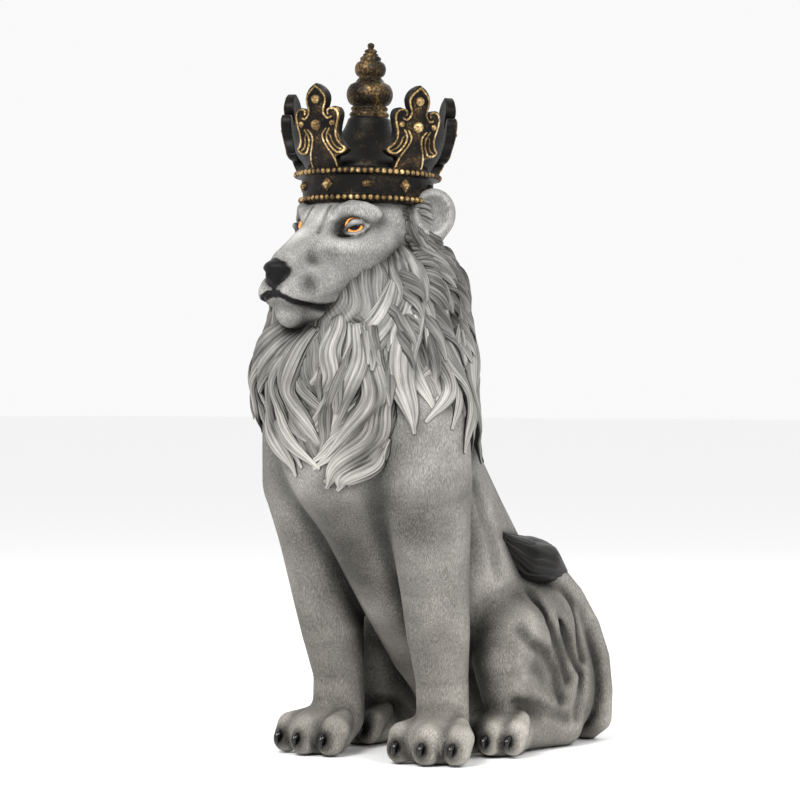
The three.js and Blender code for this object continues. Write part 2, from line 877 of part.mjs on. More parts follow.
function figure() {
  const clay = new Clay();
  trunk(clay);
  for (const side of [1, -1]) {
    foreleg(clay, side);
    haunch(clay, side);
  }
  paw(clay, [-72, -66], -4, 53);
  paw(clay, [76, -64], 12, 54);
  paw(clay, [91, 34], 10, 54, 0.82);
  paw(clay, [-91, 34], -10, 54, 0.82);
  tail(clay);
  mane(clay);
  headForms(clay);
  return clay;
}

// The crown, in its own frame: rim plane at the origin, finial up, front towards -Y.
function lathe(points, segments) {
  return new THREE.LatheGeometry(
    points.map(([r, z]) => new THREE.Vector2(r, z)),
    segments,
  ).rotateX(Math.PI / 2);
}

function halfRound([radius, height], size) {
  return [-70, 0, 70].map((a) => [
    radius + size * Math.cos(a * RAD),
    height + size * Math.sin(a * RAD),
  ]);
}

function bulb(radius, from, to, neckRadius, steps) {
  return Array.from({ length: steps + 1 }, (_, i) => {
    const swell = Math.sqrt(Math.max(0, Math.sin((Math.PI * i) / steps)));
    return [neckRadius + (radius - neckRadius) * swell, from + ((to - from) * i) / steps];
  });
}

function crownBand() {
  const recess = SEAT_RADIUS + SEAT_CLEARANCE;
  return lathe(
    [
      [0, SEAT_DEPTH + GAP],
      [recess, SEAT_DEPTH + GAP],
      [recess, 0],
      [RIM_RADIUS, 0],
      ...halfRound(LOWER_MOULDING, MOULDING_RADIUS),
      [RIM_RADIUS, LOWER_MOULDING[1] + MOULDING_RADIUS + 1],
      [BAND_RADIUS, UPPER_MOULDING[1] - MOULDING_RADIUS - 1],
      ...halfRound(UPPER_MOULDING, MOULDING_RADIUS),
      [BAND_RADIUS, BAND_HEIGHT],
      [0, BAND_HEIGHT],
    ],
    32,
  );
}

function capAndFinial() {
  const bell = [
    [62, 43],
    [50, 52],
    [38, 64],
    [30, 76],
    [25, 85],
    [22.5, 92],
  ];
  const finial = [
    [20, 94.5],
    [21, 98],
    [18.5, 100.5],
    [19.5, 104],
    ...bulb(FINIAL_BULB_RADIUS, 107, 131, 17, 5),
    [14.2, 134],
    ...bulb(16.5, 137.5, 154, 11.5, 4),
    [10.9, 158],
    [5.5, 162.5],
    [6.9, 165],
    [2.8, 168],
    [3.5, CROWN_HEIGHT - 2.6],
  ];
  const foot = BAND_HEIGHT - 2;
  return lathe([[0, foot], [64, foot], ...bell, ...finial, [0, CROWN_HEIGHT]], 16);
}

// Half outline of a fleur: share of its half width against share of its height.
const FLEUR_OUTLINE = [
  [0.53, -0.04],
  [0.5, 0.04],
  [0.46, 0.12],
  [0.76, 0.14],
  [1, 0.2],
  [0.86, 0.25],
  [0.73, 0.38],
  [0.82, 0.52],
  [0.89, 0.62],
  [0.81, 0.7],
  [0.6, 0.72],
  [0.45, 0.66],
  [0.4, 0.58],
  [0.3, 0.61],
  [0.29, 0.68],
  [0.41, 0.79],
  [0.39, 0.87],
  [0.24, 0.95],
  [0, 1],
];

// Beads on a fleur's face: the same shares, then radius and fineness
const FLEUR_BEADS = [
  [0, 0.49, 5.6, 1],
  [0, 0.8, 4.8, 0],
  [0.58, 0.51, 3.2, 0],
  [-0.58, 0.51, 3.2, 0],
];

// Stands a flat shape (x across, y up, z out) on the crown at an angle, sweeping out as it rises.
function standRound(geometry, angle) {
  const at = geometry.attributes.position;
  for (let i = 0; i < at.count; i++) {
    const height = at.getY(i);
    const rise = Math.max(0, height);
    const sweep = FLEUR_FLARE * Math.sin((Math.PI / 2) * Math.min(1, rise / FLARE_HEIGHT));
    const lean = (FLEUR_LEAN * rise) / FLEUR_HEIGHT;
    const bend = at.getX(i) / FLEUR_BEND_RADIUS;
    const setBack = FLEUR_BEND_RADIUS * (1 - Math.cos(bend));
    const out = FLEUR_ROOT_RADIUS + sweep + lean - setBack + at.getZ(i);
    const across = (FLEUR_BEND_RADIUS + at.getZ(i)) * Math.sin(bend);
    at.setXYZ(
      i,
      out * Math.sin(angle) + across * Math.cos(angle),
      -out * Math.cos(angle) + across * Math.sin(angle),
      BAND_HEIGHT + height,
    );
  }
  return geometry;
}

function fleur(angle) {
  const half = FLEUR_OUTLINE.map(([w, h]) => [w * FLEUR_HALF_WIDTH, h * FLEUR_HEIGHT]);
  const outline = [...half, ...half.slice(0, -1).reverse().map(([w, h]) => [-w, h])];
  const shape = new THREE.Shape(outline.map(([w, h]) => new THREE.Vector2(w, h)));
  const plate = new THREE.ExtrudeGeometry(shape, { depth: FLEUR_THICKNESS, bevelEnabled: false });
  plate.translate(0, 0, -FLEUR_THICKNESS / 2);
  const face = FLEUR_THICKNESS / 2;
  const beads = FLEUR_BEADS.map(([w, h, r, detail]) =>
    standRound(
      new THREE.IcosahedronGeometry(r, detail).translate(
        w * FLEUR_HALF_WIDTH,
        h * FLEUR_HEIGHT,
        face,
      ),
      angle,
    ),
  );
  return [standRound(plate, angle), ...beads];
}

function stud(angle, pointed) {
  const height = (LOWER_MOULDING[1] + UPPER_MOULDING[1]) / 2;
  const radius = (RIM_RADIUS + BAND_RADIUS) / 2;
  const foot = (PYRAMID_HALF_WIDTH * (PYRAMID_DEPTH + STUD_SUNK)) / PYRAMID_DEPTH;
  const piece = pointed
    ? new THREE.ConeGeometry(foot, PYRAMID_DEPTH + STUD_SUNK, 4)
        .translate(0, (PYRAMID_DEPTH - STUD_SUNK) / 2, 0)
        .rotateX(Math.PI / 2)
    : new THREE.IcosahedronGeometry(DOME_RADIUS, 1);
  return piece
    .translate(0, 0, radius)
    .rotateY(angle)
    .rotateX(Math.PI / 2)
    .translate(0, 0, height);
}

function crownSolid() {
  let solid = solidOf(crownBand()).add(solidOf(capAndFinial()));
  const step = 360 / FLEUR_COUNT;
  for (let i = 0; i < FLEUR_COUNT; i++)
    for (const piece of fleur(i * step * RAD)) solid = solid.add(solidOf(piece));
  for (let i = 0; i < STUD_COUNT; i++)
    solid = solid.add(solidOf(stud(((i * 360) / STUD_COUNT) * RAD, i % 2 === 0)));
  return solid;
}

// Places a solid of the crown's frame on the head.
function onHead(solid, turn) {
  const place = new THREE.Matrix4()
    .makeTranslation(...SEAT_AT)
    .multiply(new THREE.Matrix4().makeRotationZ(-HEAD_YAW * RAD))
    .multiply(new THREE.Matrix4().makeRotationX(-CROWN_TILT * RAD))
    .multiply(new THREE.Matrix4().makeRotationZ(turn * RAD));
  return solid.transform(place.elements);
}

// The lion: the clay polygonised, cut off flat by the floor, with the crown's seat on its skull.
function lionSolid() {
  const clay = figure();
  const { low, high } = clay.bounds();
  const face = new THREE.Vector3(...head(...FACE_AT));
  const importance = (x, y, z) =>
    face.distanceTo(new THREE.Vector3(x, y, z)) < FACE_REACH ? HEAD_IMPORTANCE : 1;
  const fine = outerShell(polygonise(clay, CELL, low, high));
  let solid = solidOfArrays(simplify(fine, LION_TRIANGLES, importance)).scale(UNIT);
  solid = solid.subtract(solidOf(new THREE.BoxGeometry(1000, 1000, 200).translate(0, 0, -100)));
  const narrow = LOWER_MOULDING[0] + MOULDING_RADIUS + CROWN_CLEARANCE;
  const wide = UPPER_MOULDING[0] + MOULDING_RADIUS + CROWN_CLEARANCE;
  const room = lathe(
    [
      [0, SEAT_DEPTH],
      [SEAT_RADIUS, SEAT_DEPTH],
      [SEAT_RADIUS, -GAP],
      [narrow, -GAP],
      [narrow, LOWER_MOULDING[1] + MOULDING_RADIUS],
      [wide, UPPER_MOULDING[1] - MOULDING_RADIUS],
      [wide + FLEUR_FLARE, 2 * BAND_HEIGHT],
      [0, 2 * BAND_HEIGHT],
    ],
    48,
  );
  return solid.subtract(onHead(solidOf(room), 0));
}

const group = new THREE.Group();
const finishes = {
  lion: new THREE.MeshStandardMaterial({ color: 0x9a9894, roughness: 0.75 }),
  crown: new THREE.MeshStandardMaterial({ color: 0x3a3024, roughness: 0.5, metalness: 0.4 }),
};
for (const [name, solid] of [
  ["lion", lionSolid()],
  ["crown", onHead(crownSolid(), CROWN_TURN)],
]) {
  const mesh = new THREE.Mesh(geometryOf(solid), finishes[name]);
  mesh.name = name;
  group.add(mesh);
}

// The middle of the bounding box's underside is the origin.
const box = new THREE.Box3().setFromObject(group);
const middle = box.getCenter(new THREE.Vector3());
for (const mesh of group.children) mesh.geometry.translate(-middle.x, -middle.y, 0);

export default group;
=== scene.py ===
# %% [markdown]
# # A seated lion with a crown
# A floor sculpture cast in two pieces of resin. The lion is painted grey, dry-brushed pale and
# washed dark; the crown is painted like old bronze with its gold worn through on the edges.
# This lesson dresses the plain solids: it models the lion again in fine clay, lays the hair of
# the mane over it lock by lock, and builds the crown with its beads and fleurs.

# %% The frame
import math

import bpy
import numpy as np
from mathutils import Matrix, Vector


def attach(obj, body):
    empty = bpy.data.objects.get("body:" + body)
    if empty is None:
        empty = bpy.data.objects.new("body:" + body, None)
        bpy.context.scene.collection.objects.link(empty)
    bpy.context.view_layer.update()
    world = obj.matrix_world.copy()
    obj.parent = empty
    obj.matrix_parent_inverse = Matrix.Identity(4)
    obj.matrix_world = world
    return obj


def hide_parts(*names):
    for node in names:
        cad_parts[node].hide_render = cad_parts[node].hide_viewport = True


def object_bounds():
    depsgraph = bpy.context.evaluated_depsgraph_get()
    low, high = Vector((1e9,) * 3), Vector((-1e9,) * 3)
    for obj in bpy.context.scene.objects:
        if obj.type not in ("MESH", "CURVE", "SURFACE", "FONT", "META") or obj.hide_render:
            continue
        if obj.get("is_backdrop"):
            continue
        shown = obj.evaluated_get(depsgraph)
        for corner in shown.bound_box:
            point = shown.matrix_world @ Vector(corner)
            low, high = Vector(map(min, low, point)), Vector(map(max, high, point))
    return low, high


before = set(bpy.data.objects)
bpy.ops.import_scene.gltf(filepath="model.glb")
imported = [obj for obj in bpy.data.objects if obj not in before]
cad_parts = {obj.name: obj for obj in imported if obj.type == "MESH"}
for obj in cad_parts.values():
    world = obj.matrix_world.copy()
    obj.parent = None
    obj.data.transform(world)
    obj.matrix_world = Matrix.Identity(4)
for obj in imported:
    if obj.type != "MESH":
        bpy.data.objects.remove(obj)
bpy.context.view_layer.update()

# %% [markdown]
# ## Units and colours
# The sculpture is drawn in millimetres, in the same places as its solids, and turned into metres
# when a mesh is made. Colours are written as they look on a screen and converted once.

# %% Millimetres and colours
MM = 0.001
DRAWN_TO_FRAME = np.array([0.02, 5.86, 0.0])  # from the drawing's origin to the frame's, in mm


def screen_colour(text):
    """A colour such as "8a8a88" as linear red, green, blue and alpha."""
    parts = [int(text[i : i + 2], 16) / 255 for i in (0, 2, 4)]
    linear = [c / 12.92 if c <= 0.04045 else ((c + 0.055) / 1.055) ** 2.4 for c in parts]
    return (*linear, 1.0)


print("mid grey 808080 is", round(screen_colour("808080")[0], 3), "in linear light")


# %% [markdown]
# ## Camera, floor and light
# The photograph was taken level from just below the lion's chest, 38 degrees round to its left,
# with a long lens. A camera that stays level and is shifted, rather than tilted, keeps the legs
# upright, as in the photograph. The floor is plain and pale. One lamp could light the figure, but
# its shadows would hide the folds, so three large soft lamps stand round it in a bright room.

# %% Camera
CAMERA_TURN = 38.0
CAMERA_DISTANCE = 3.3
CAMERA_HEIGHT = 0.38
CAMERA_LENS, CAMERA_FILM = 137.5, 36  # in mm
CAMERA_SHIFT = (-0.04875, -0.0045)  # in shares of the frame
CAMERA_BACK = 0.03  # the figure's middle is this much behind the frame's

camera = bpy.data.objects.new("camera", bpy.data.cameras.new("camera"))
bpy.context.scene.collection.objects.link(camera)
camera.data.lens = CAMERA_LENS
camera.data.sensor_width = CAMERA_FILM
camera.data.shift_x, camera.data.shift_y = CAMERA_SHIFT
camera.location = (
    CAMERA_DISTANCE * math.sin(math.radians(CAMERA_TURN)),
    -CAMERA_DISTANCE * math.cos(math.radians(CAMERA_TURN)) + CAMERA_BACK,
    CAMERA_HEIGHT,
)
camera.rotation_euler = (math.radians(90), 0, math.radians(CAMERA_TURN))
bpy.context.scene.camera = camera
print("camera at", [round(v, 3) for v in camera.location])


# %% Materials helper
def node_in(tree, kind, **inputs):
    """Adds a node to a tree. Each input is a setting of the node, or a socket by its name or,
    as i0, i1 and so on, by its number; its value is a number, a colour or a socket to link."""
    node = tree.nodes.new(kind)
    for name, value in inputs.items():
        if hasattr(node, name) and name not in node.inputs:
            setattr(node, name, value)
            continue
        numbered = name[0] == "i" and name[1:].isdigit()
        socket = node.inputs[int(name[1:]) if numbered else name]
        if isinstance(value, bpy.types.NodeSocket):
            tree.links.new(value, socket)
        else:
            socket.default_value = value
    return node


def new_material(name):
    """A material with its shader, and the shader's tree."""
    material = bpy.data.materials.new(name)
    material.use_nodes = True
    tree = material.node_tree
    return material, tree, tree.nodes["Principled BSDF"]


# %% Floor
def mesh_object(name, points, faces, smooth=True):
    """A new object from points in metres and faces, at the origin of the frame."""
    mesh = bpy.data.meshes.new(name)
    mesh.from_pydata(points.tolist() if hasattr(points, "tolist") else points, [], faces)
    mesh.update()
    if smooth:
        mesh.shade_smooth()
    thing = bpy.data.objects.new(name, mesh)
    bpy.context.scene.collection.objects.link(thing)
    return thing


# Matt paper from a roll, unprinted: it gives the eye nothing but the figure's soft shadow.
FLOOR_REACH = 40
floor_paper, tree, shader = new_material("white studio paper")
shader.inputs["Base Color"].default_value = screen_colour("f8f8f8")
shader.inputs["Roughness"].default_value = 0.9
floor_corners = [
    (x * FLOOR_REACH, y * FLOOR_REACH, 0) for x, y in ((-1, -1), (1, -1), (1, 1), (-1, 1))
]
floor = mesh_object("studio_floor", floor_corners, [(0, 1, 2, 3)], smooth=False)
floor.data.materials.append(floor_paper)
floor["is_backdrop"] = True
print("floor", 2 * FLOOR_REACH, "metres wide")


# %% Lamps
def soft_lamp(name, turn, height, distance, size, watts):
    """A square lamp that looks at the lion's chest from a turn round it, in degrees."""
    lamp = bpy.data.objects.new(name, bpy.data.lights.new(name, "AREA"))
    bpy.context.scene.collection.objects.link(lamp)
    lamp.data.size = size
    lamp.data.energy = watts
    angle = math.radians(turn)
    lamp.location = (distance * math.sin(angle), -distance * math.cos(angle), height)
    aim = Vector((0, 0, 0.4)) - lamp.location
    lamp.rotation_euler = aim.to_track_quat("-Z", "Y").to_euler()


soft_lamp("key_lamp", 14, 2.3, 2.4, 1.0, 84)
soft_lamp("side_lamp", 74, 1.9, 2.6, 1.0, 34)
soft_lamp("back_lamp", 190, 2.2, 2.6, 1.6, 14)
world = bpy.data.worlds.new("studio")
bpy.context.scene.world = world
world.use_nodes = True
world.node_tree.nodes["Background"].inputs["Color"].default_value = screen_colour("ffffff")
world.node_tree.nodes["Background"].inputs["Strength"].default_value = 0.95
bpy.context.scene.view_settings.view_transform = "Standard"
print(len(bpy.data.lights), "lamps in a bright room")

# %% [markdown]
# ## Modelling in clay
# A lion has no straight lines. It could be sculpted by hand with Blender's brushes, or grown from
# metaballs, but neither can be written down and kept. It is modelled the way a sculptor works:
# balls and limbs of clay are pressed on one after another, each with its own softness at the
# join, and folds are carved in. In numbers each form is a distance to its surface, so a soft join
# is a formula, and the finished surface is where the distance is nought. The forms are the same
# as in the solid.


# %% Balls of clay
def turned(degrees):
    """Axes turned about X, then Y, then Z."""
    a, b, c = np.radians(degrees)
    about_x = np.array([[1, 0, 0], [0, np.cos(a), -np.sin(a)], [0, np.sin(a), np.cos(a)]])
    about_y = np.array([[np.cos(b), 0, np.sin(b)], [0, 1, 0], [-np.sin(b), 0, np.cos(b)]])
    about_z = np.array([[np.cos(c), -np.sin(c), 0], [np.sin(c), np.cos(c), 0], [0, 0, 1]])
    return about_z @ about_y @ about_x


class Ball:
    """An ellipsoid of clay."""

    def __init__(self, centre, radii, turn=(0, 0, 0)):
        self.centre = np.array(centre, float)
        self.radii = np.array(radii, float)
        self.axes = turned(turn)
        self.low = self.centre - self.radii.max()
        self.high = self.centre + self.radii.max()

    def distance(self, x, y, z):
        dx, dy, dz = x - self.centre[0], y - self.centre[1], z - self.centre[2]
        spread = 0
        slope = 0
        for axis, radius in zip(self.axes.T, self.radii):
            u = (axis[0] * dx + axis[1] * dy + axis[2] * dz) / radius
            spread = spread + u * u
            slope = slope + (u / radius) ** 2
        k = np.sqrt(spread)
        return k * (k - 1) / np.maximum(np.sqrt(slope), 1e-9)


trial = Ball((0, 0, 0), (10, 10, 10))
print("a place 15 mm from the middle of a 10 mm ball is", trial.distance(15, 0, 0), "mm off it")


# %% Limbs of clay
class Limb:
    """A chain of tapered rods through (x, y, z, radius) points, squeezed along each axis."""

    def __init__(self, points, flat=(1, 1, 1)):
        points = np.array(points, float)
        self.flat = np.array(flat, float)
        self.start = points[0, :3].copy()
        self.low = (points[:, :3] - points[:, 3:] * self.flat).min(axis=0)
        self.high = (points[:, :3] + points[:, 3:] * self.flat).max(axis=0)
        self.places = (points[:, :3] - self.start) / self.flat
        self.radii = points[:, 3]

    def distance(self, x, y, z):
        px, py, pz = [(v - o) / f for v, o, f in zip((x, y, z), self.start, self.flat)]
        best = np.inf
        for a, b, ra, rb in zip(self.places, self.places[1:], self.radii, self.radii[1:]):
            d = b - a
            qx, qy, qz = px - a[0], py - a[1], pz - a[2]
            t = np.clip((qx * d[0] + qy * d[1] + qz * d[2]) / (d @ d), 0, 1)
            gap = np.sqrt((qx - t * d[0]) ** 2 + (qy - t * d[1]) ** 2 + (qz - t * d[2]) ** 2)
            best = np.minimum(best, gap - ra - t * (rb - ra))
        return best * self.flat.min()


trial = Limb([(0, 0, 0, 4), (0, 0, 20, 4)])
print("a place 9 mm from the middle of a 4 mm rod is", trial.distance(9, 0, 10), "mm off it")


# %% Pressing on and carving
def join(d, e, soft):
    """Two distances joined softly."""
    h = np.maximum(soft - np.abs(d - e), 0) / soft
    return np.minimum(d, e) - h * h * soft / 4


class Clay:
    """Forms pressed on and carved out in order."""

    def __init__(self, steps=()):
        self.steps = list(steps)

    def add(self, form, soft=12):
        self.steps.append((form, soft, False))

    def carve(self, form, soft=6):
        self.steps.append((form, soft, True))

    def box(self):
        forms = [form for form, soft, carved in self.steps if not carved]
        return np.min([f.low for f in forms], axis=0), np.max([f.high for f in forms], axis=0)

    def distance(self, x, y, z):
        d = np.full(np.shape(x), 1e3)
        for form, soft, carved in self.steps:
            e = form.distance(x, y, z)
            d = -join(-d, e, soft) if carved else join(d, e, soft)
        return d

    def sampled(self, cell, low, high):
        """Distances on a grid of points from low, cell apart."""
        count = np.ceil((high - low) / cell).astype(int) + 3
        origin = low - cell
        lines = [origin[i] + cell * np.arange(count[i]) for i in range(3)]
        values = np.full(count, 1e3, np.float32)
        for form, soft, carved in self.steps:
            reach = soft + 2 * cell
            start = np.clip(np.floor((form.low - reach - origin) / cell).astype(int), 0, count)
            stop = np.clip(np.ceil((form.high + reach - origin) / cell).astype(int) + 1, 0, count)
            if np.any(start >= stop):
                continue
            part = tuple(slice(a, b) for a, b in zip(start, stop))
            x, y, z = [line[s] for line, s in zip(lines, part)]
            e = form.distance(x[:, None, None], y[None, :, None], z[None, None, :])
            d = values[part]
            values[part] = -join(-d, e, soft) if carved else join(d, e, soft)
        return values, origin


print("two touching surfaces joined over 12 mm swell by", -join(0.0, 0.0, 12), "mm")


# %% [markdown]
# ## From clay to mesh
# A remesh modifier could do this, but it rounds off lids and toes. Here the grid is walked cell
# by cell. Every cell that the surface passes through gets one point, in the middle of where the
# surface crosses its edges, and every crossed edge joins four cells with a face. The points are
# then slid onto the exact surface, so that a coarse grid still gives smooth forms.


# %% Reading the grid between its points
class Field:
    """A grid of distances that can be read anywhere."""

    def __init__(self, values, origin, cell):
        self.values, self.origin, self.cell = values, origin, cell

    def at(self, points):
        place = (points - self.origin) / self.cell
        place = np.clip(place, 0, np.array(self.values.shape) - 1.001)
        base = place.astype(int)
        part = place - base
        total = 0
        for corner in range(8):
            step = np.array([corner & 1, corner >> 1 & 1, corner >> 2 & 1])
            share = np.prod(np.where(step, part, 1 - part), axis=1)
            total = total + share * self.values[tuple((base + step).T)]
        return total

    def slope(self, points, step=1.0):
        slopes = []
        for axis in np.eye(3) * step:
            slopes.append((self.at(points + axis) - self.at(points - axis)) / (2 * step))
        return np.stack(slopes, axis=1)

    def outward(self, points, step=1.0):
        slope = self.slope(points, step)
        return slope / np.maximum(np.linalg.norm(slope, axis=1, keepdims=True), 1e-9)

    def settled(self, points, lift=0.0, rounds=3):
        """Points slid along the slope until they lie lift above the surface."""
        for _ in range(rounds):
            slope = self.slope(points)
            steep = np.maximum((slope**2).sum(axis=1, keepdims=True), 0.05)
            points = points - (self.at(points) - lift)[:, None] * slope / steep
        return points


# %% Points and faces of the surface
def skin(values, origin, cell):
    """The points and four-sided faces where a grid of distances is nought."""
    values = values.copy()
    for axis in range(3):
        edge = [slice(None)] * 3
        for end in (0, -1):
            edge[axis] = end
            values[tuple(edge)] = cell
    inside = values < 0
    shape = np.array(values.shape) - 1
    corners = [(c & 1, c >> 1 & 1, c >> 2 & 1) for c in range(8)]
    full = sum(
        inside[a : a + shape[0], b : b + shape[1], c : c + shape[2]].astype(np.uint8)
        for a, b, c in corners
    )
    cells = np.argwhere((full > 0) & (full < 8))
    number = np.full(shape, -1)
    number[tuple(cells.T)] = np.arange(len(cells))
    total = np.zeros((len(cells), 3))
    crossed = np.zeros(len(cells))
    for i, a in enumerate(corners):
        for j, b in enumerate(corners):
            if i < j and sum(abs(p - q) for p, q in zip(a, b)) == 1:
                va = values[tuple((cells + a).T)].astype(float)
                vb = values[tuple((cells + b).T)].astype(float)
                hit = (va < 0) != (vb < 0)
                t = np.where(hit, va / np.where(hit, va - vb, 1), 0)
                place = np.array(a) + t[:, None] * (np.array(b) - np.array(a))
                total += np.where(hit[:, None], place, 0)
                crossed += hit
    points = origin + cell * (cells + total / crossed[:, None])
    faces = []
    for axis in range(3):
        others = [i for i in range(3) if i != axis]
        before = [slice(None)] * 3
        after = [slice(None)] * 3
        before[axis], after[axis] = slice(0, -1), slice(1, None)
        first, second = inside[tuple(before)], inside[tuple(after)]
        edges = np.argwhere(first != second)
        out = first[tuple(edges.T)]
        ring = []
        for p, q in ((1, 1), (0, 1), (0, 0), (1, 0)):
            step = np.zeros(3, int)
            step[others[0]], step[others[1]] = p, q
            ring.append(number[tuple((edges - step).T)])
        ring = np.stack(ring, axis=1)
        if axis == 1:
            out = ~out
        faces.append(np.where(out[:, None], ring, ring[:, ::-1]))
    return points, np.concatenate(faces)


def main_part(points, faces):
    """The outer surface alone, without the tiny bubbles that carving can leave inside it."""
    label = np.arange(len(points))
    while True:
        lower = label.copy()
        for corner in faces.T:
            np.minimum.at(lower, corner, label[faces].min(axis=1))
        lower = lower[lower]
        if np.array_equal(lower, label):
            break
        label = lower
    kept = label == np.bincount(label).argmax()
    number = np.cumsum(kept) - 1
    return points[kept], number[faces[kept[faces[:, 0]]]]


def modelled(clay, cell, low=None, high=None):
    """A clay's surface as settled points and faces, and the field it was read from."""
    if low is None:
        low, high = clay.box()
    values, origin = clay.sampled(cell, np.array(low, float), np.array(high, float))
    field = Field(values, origin, cell)
    points, faces = main_part(*skin(values, origin, cell))
    return field.settled(points, rounds=2), faces, field


trial_points, trial_faces, _ = modelled(Clay([(Ball((0, 0, 0), (10, 10, 10)), 1, False)]), 2.0)
print("a 10 mm ball gives", len(trial_points), "points and", len(trial_faces), "faces")


# %% [markdown]
# ## The lion's body
# On the casting the body is one smooth form with shallow folds. The trunk leans back from the
# shoulders to the rump. The forelegs stand like columns, the haunches are folded, and the tail
# comes round the left haunch. These are the same forms as in the solid, at the same places, with
# the finer folds and three toes on each paw added.


# %% Trunk
def both_sides(make):
    """A form made for the left side, 1, and the right side, -1."""
    return [make(1), make(-1)]


# Each limb is a list of (x, y, z, radius), in mm from the drawing's origin; +Y is behind
SPINE = [
    (0, -76, 365, 84), (0, -46, 300, 86), (0, 4, 230, 88), (0, 64, 152, 90), (0, 108, 98, 88),
]
BREAST_BONE = [
    (0, -128, 300, 50), (0, -92, 236, 44), (0, -46, 168, 40), (0, 4, 110, 40), (0, 60, 70, 44),
]
NECK = [(-4, -98, 350, 94), (-8, -91, 405, 105), (-10, -85, 458, 96), (-9, -72, 506, 68)]
FLANK_FOLDS = (
    [(92, -52, 290, 3), (94, -26, 215, 4), (90, -14, 150, 3)],
    [(88, -24, 288, 3), (93, 4, 226, 4), (92, 14, 190, 3)],
)
body = Clay()
body.add(Limb(SPINE), 10)
body.add(Ball((0, 116, 88), (86, 86, 94)), 20)  # rump
body.add(Ball((0, -118, 322), (66, 66, 84)), 30)  # breast
body.add(Limb(BREAST_BONE), 20)
body.add(Limb(NECK), 24)
for fold in FLANK_FOLDS:
    for form in both_sides(lambda s: Limb([(s * x, y, z, r) for x, y, z, r in fold])):
        body.carve(form, 12)
print("trunk of", len(body.steps), "forms")


# %% Forelegs
FORELEG = [
    (74, -102, 350, 56),
    (78, -100, 292, 54),
    (77, -88, 235, 45),
    (75, -79, 180, 39),
    (72, -69, 132, 36),
    (70, -60, 84, 30),
    (71, -60, 38, 30),
]


def mirrored(points, side):
    """A limb's points on the left side, 1, or the right side, -1."""
    return [(side * p[0], *p[1:]) for p in points]


print("a foreleg is", FORELEG[0][2] - FORELEG[-1][2], "mm long between its ends' middles")

# %% Haunches
THIGH = [(68, 104, 138, 42), (84, 40, 128, 38), (88, 18, 100, 30), (88, 22, 66, 24)]
SHANK = [(88, 26, 84, 24), (91, 76, 46, 22), (88, 122, 24, 20)]
HIND_FOOT = [(88, 130, 18, 18), (90, 70, 22, 20), (92, 30, 24, 22)]
# Thin lines carved with a wide softness, so that each becomes a shallow fold of skin
THIGH_FOLDS = [
    [
        (96, 62, 171, 0.72), (102, 62, 158, 2.04), (112, 67, 139, 1.44), (114, 87, 111, 1.2),
        (111, 101, 93, 1.08), (110, 109, 74, 0.48),
    ],
    [
        (106, 89, 141, 1.32), (111, 98, 129, 1.56), (111, 117, 101, 1.2), (108, 135, 78, 1.08),
        (112, 132, 56, 1.2), (112, 126, 34, 0.96),
    ],
    [
        (115, 18, 134, 0.36), (120, 29, 120, 0.96), (112, 69, 104, 0.96), (111, 88, 81, 1.08),
        (110, 99, 55, 0.72),
    ],
    [(102, 109, 186, 0.96), (103, 123, 158, 1.68), (104, 129, 130, 1.68), (108, 140, 96, 1.32)],
    [(110, 16, 56, 0.84), (111, 56, 48, 1.44), (113, 81, 41, 1.32), (112, 108, 33, 0.84)],
]
FOLD_SOFTNESS = 14


def press_leg_and_haunch(clay, side):
    """Foreleg, haunch, shank and hind foot of one side, then the folds of the thigh."""
    clay.add(Limb(mirrored(FORELEG, side), (0.86, 1, 1)), 16)
    clay.add(Ball((side * 70, 102, 100), (42, 80, 88), (-14, 0, 0)), 14)
    clay.add(Limb(mirrored(THIGH, side)), 18)
    clay.add(Limb(mirrored(SHANK, side)), 12)
    clay.add(Limb(mirrored(HIND_FOOT, side)), 12)
    clay.add(Ball((side * 76, 136, 62), (36, 52, 58)), 14)
    for fold in THIGH_FOLDS:
        clay.carve(Limb(mirrored(fold, side)), FOLD_SOFTNESS)


press_leg_and_haunch(body, 1)
press_leg_and_haunch(body, -1)
print("with legs and haunches", len(body.steps), "forms")

# %% Paws
TOES = [(-30, 0.84), (4, 1.0), (34, 0.82)]  # place across, share of the longest
PAWS = [
    # middle of the wrist, turn outwards, length ahead of it, share of a fore paw's width
    ((-72, -66), -4, 53, 1.0),
    ((76, -64), 12, 54, 1.0),
    ((89, 34), 8, 54, 0.76),
    ((-89, 34), -8, 54, 0.76),
]


def paw_place(paw, across, ahead, height):
    """A place on a paw: across it, ahead of its wrist and above the floor."""
    (x, y), turn, length, wide = paw
    c, s = math.cos(math.radians(turn)), math.sin(math.radians(turn))
    return (x + wide * across * c + ahead * s, y + wide * across * s - ahead * c, height)


def press_paw(clay, paw):
    """A pad with its toes; a toe of a narrower paw is a little thinner."""
    turn, length, wide = paw[1:]
    pad = paw_place(paw, 0, length * 0.42, 22)
    clay.add(Ball(pad, (38 * wide, length * 0.62, 26), (0, 0, turn)), 14)
    thinner = 0.3 + 0.7 * wide
    for across, share in TOES:
        reach = length * share
        toe = [
            (*paw_place(paw, across * 0.7, reach * 0.3, 37), 11),
            (*paw_place(paw, across, reach - 10, 28), 15.5 * thinner),
            (*paw_place(paw, across, reach - 3, 15), 14.5 * thinner),
        ]
        clay.add(Limb(toe), 3.5)


def press_claw_hollows(clay, paw):
    """A small hollow at the end of each toe, in which its claw sits."""
    for across, share in TOES:
        clay.carve(Ball(paw_place(paw, across, paw[2] * share + 11, 19), (4.6, 4.6, 5.4)), 3)


for paw in PAWS:
    press_paw(body, paw)
    press_claw_hollows(body, paw)
print(len(PAWS), "paws of", len(TOES), "toes")

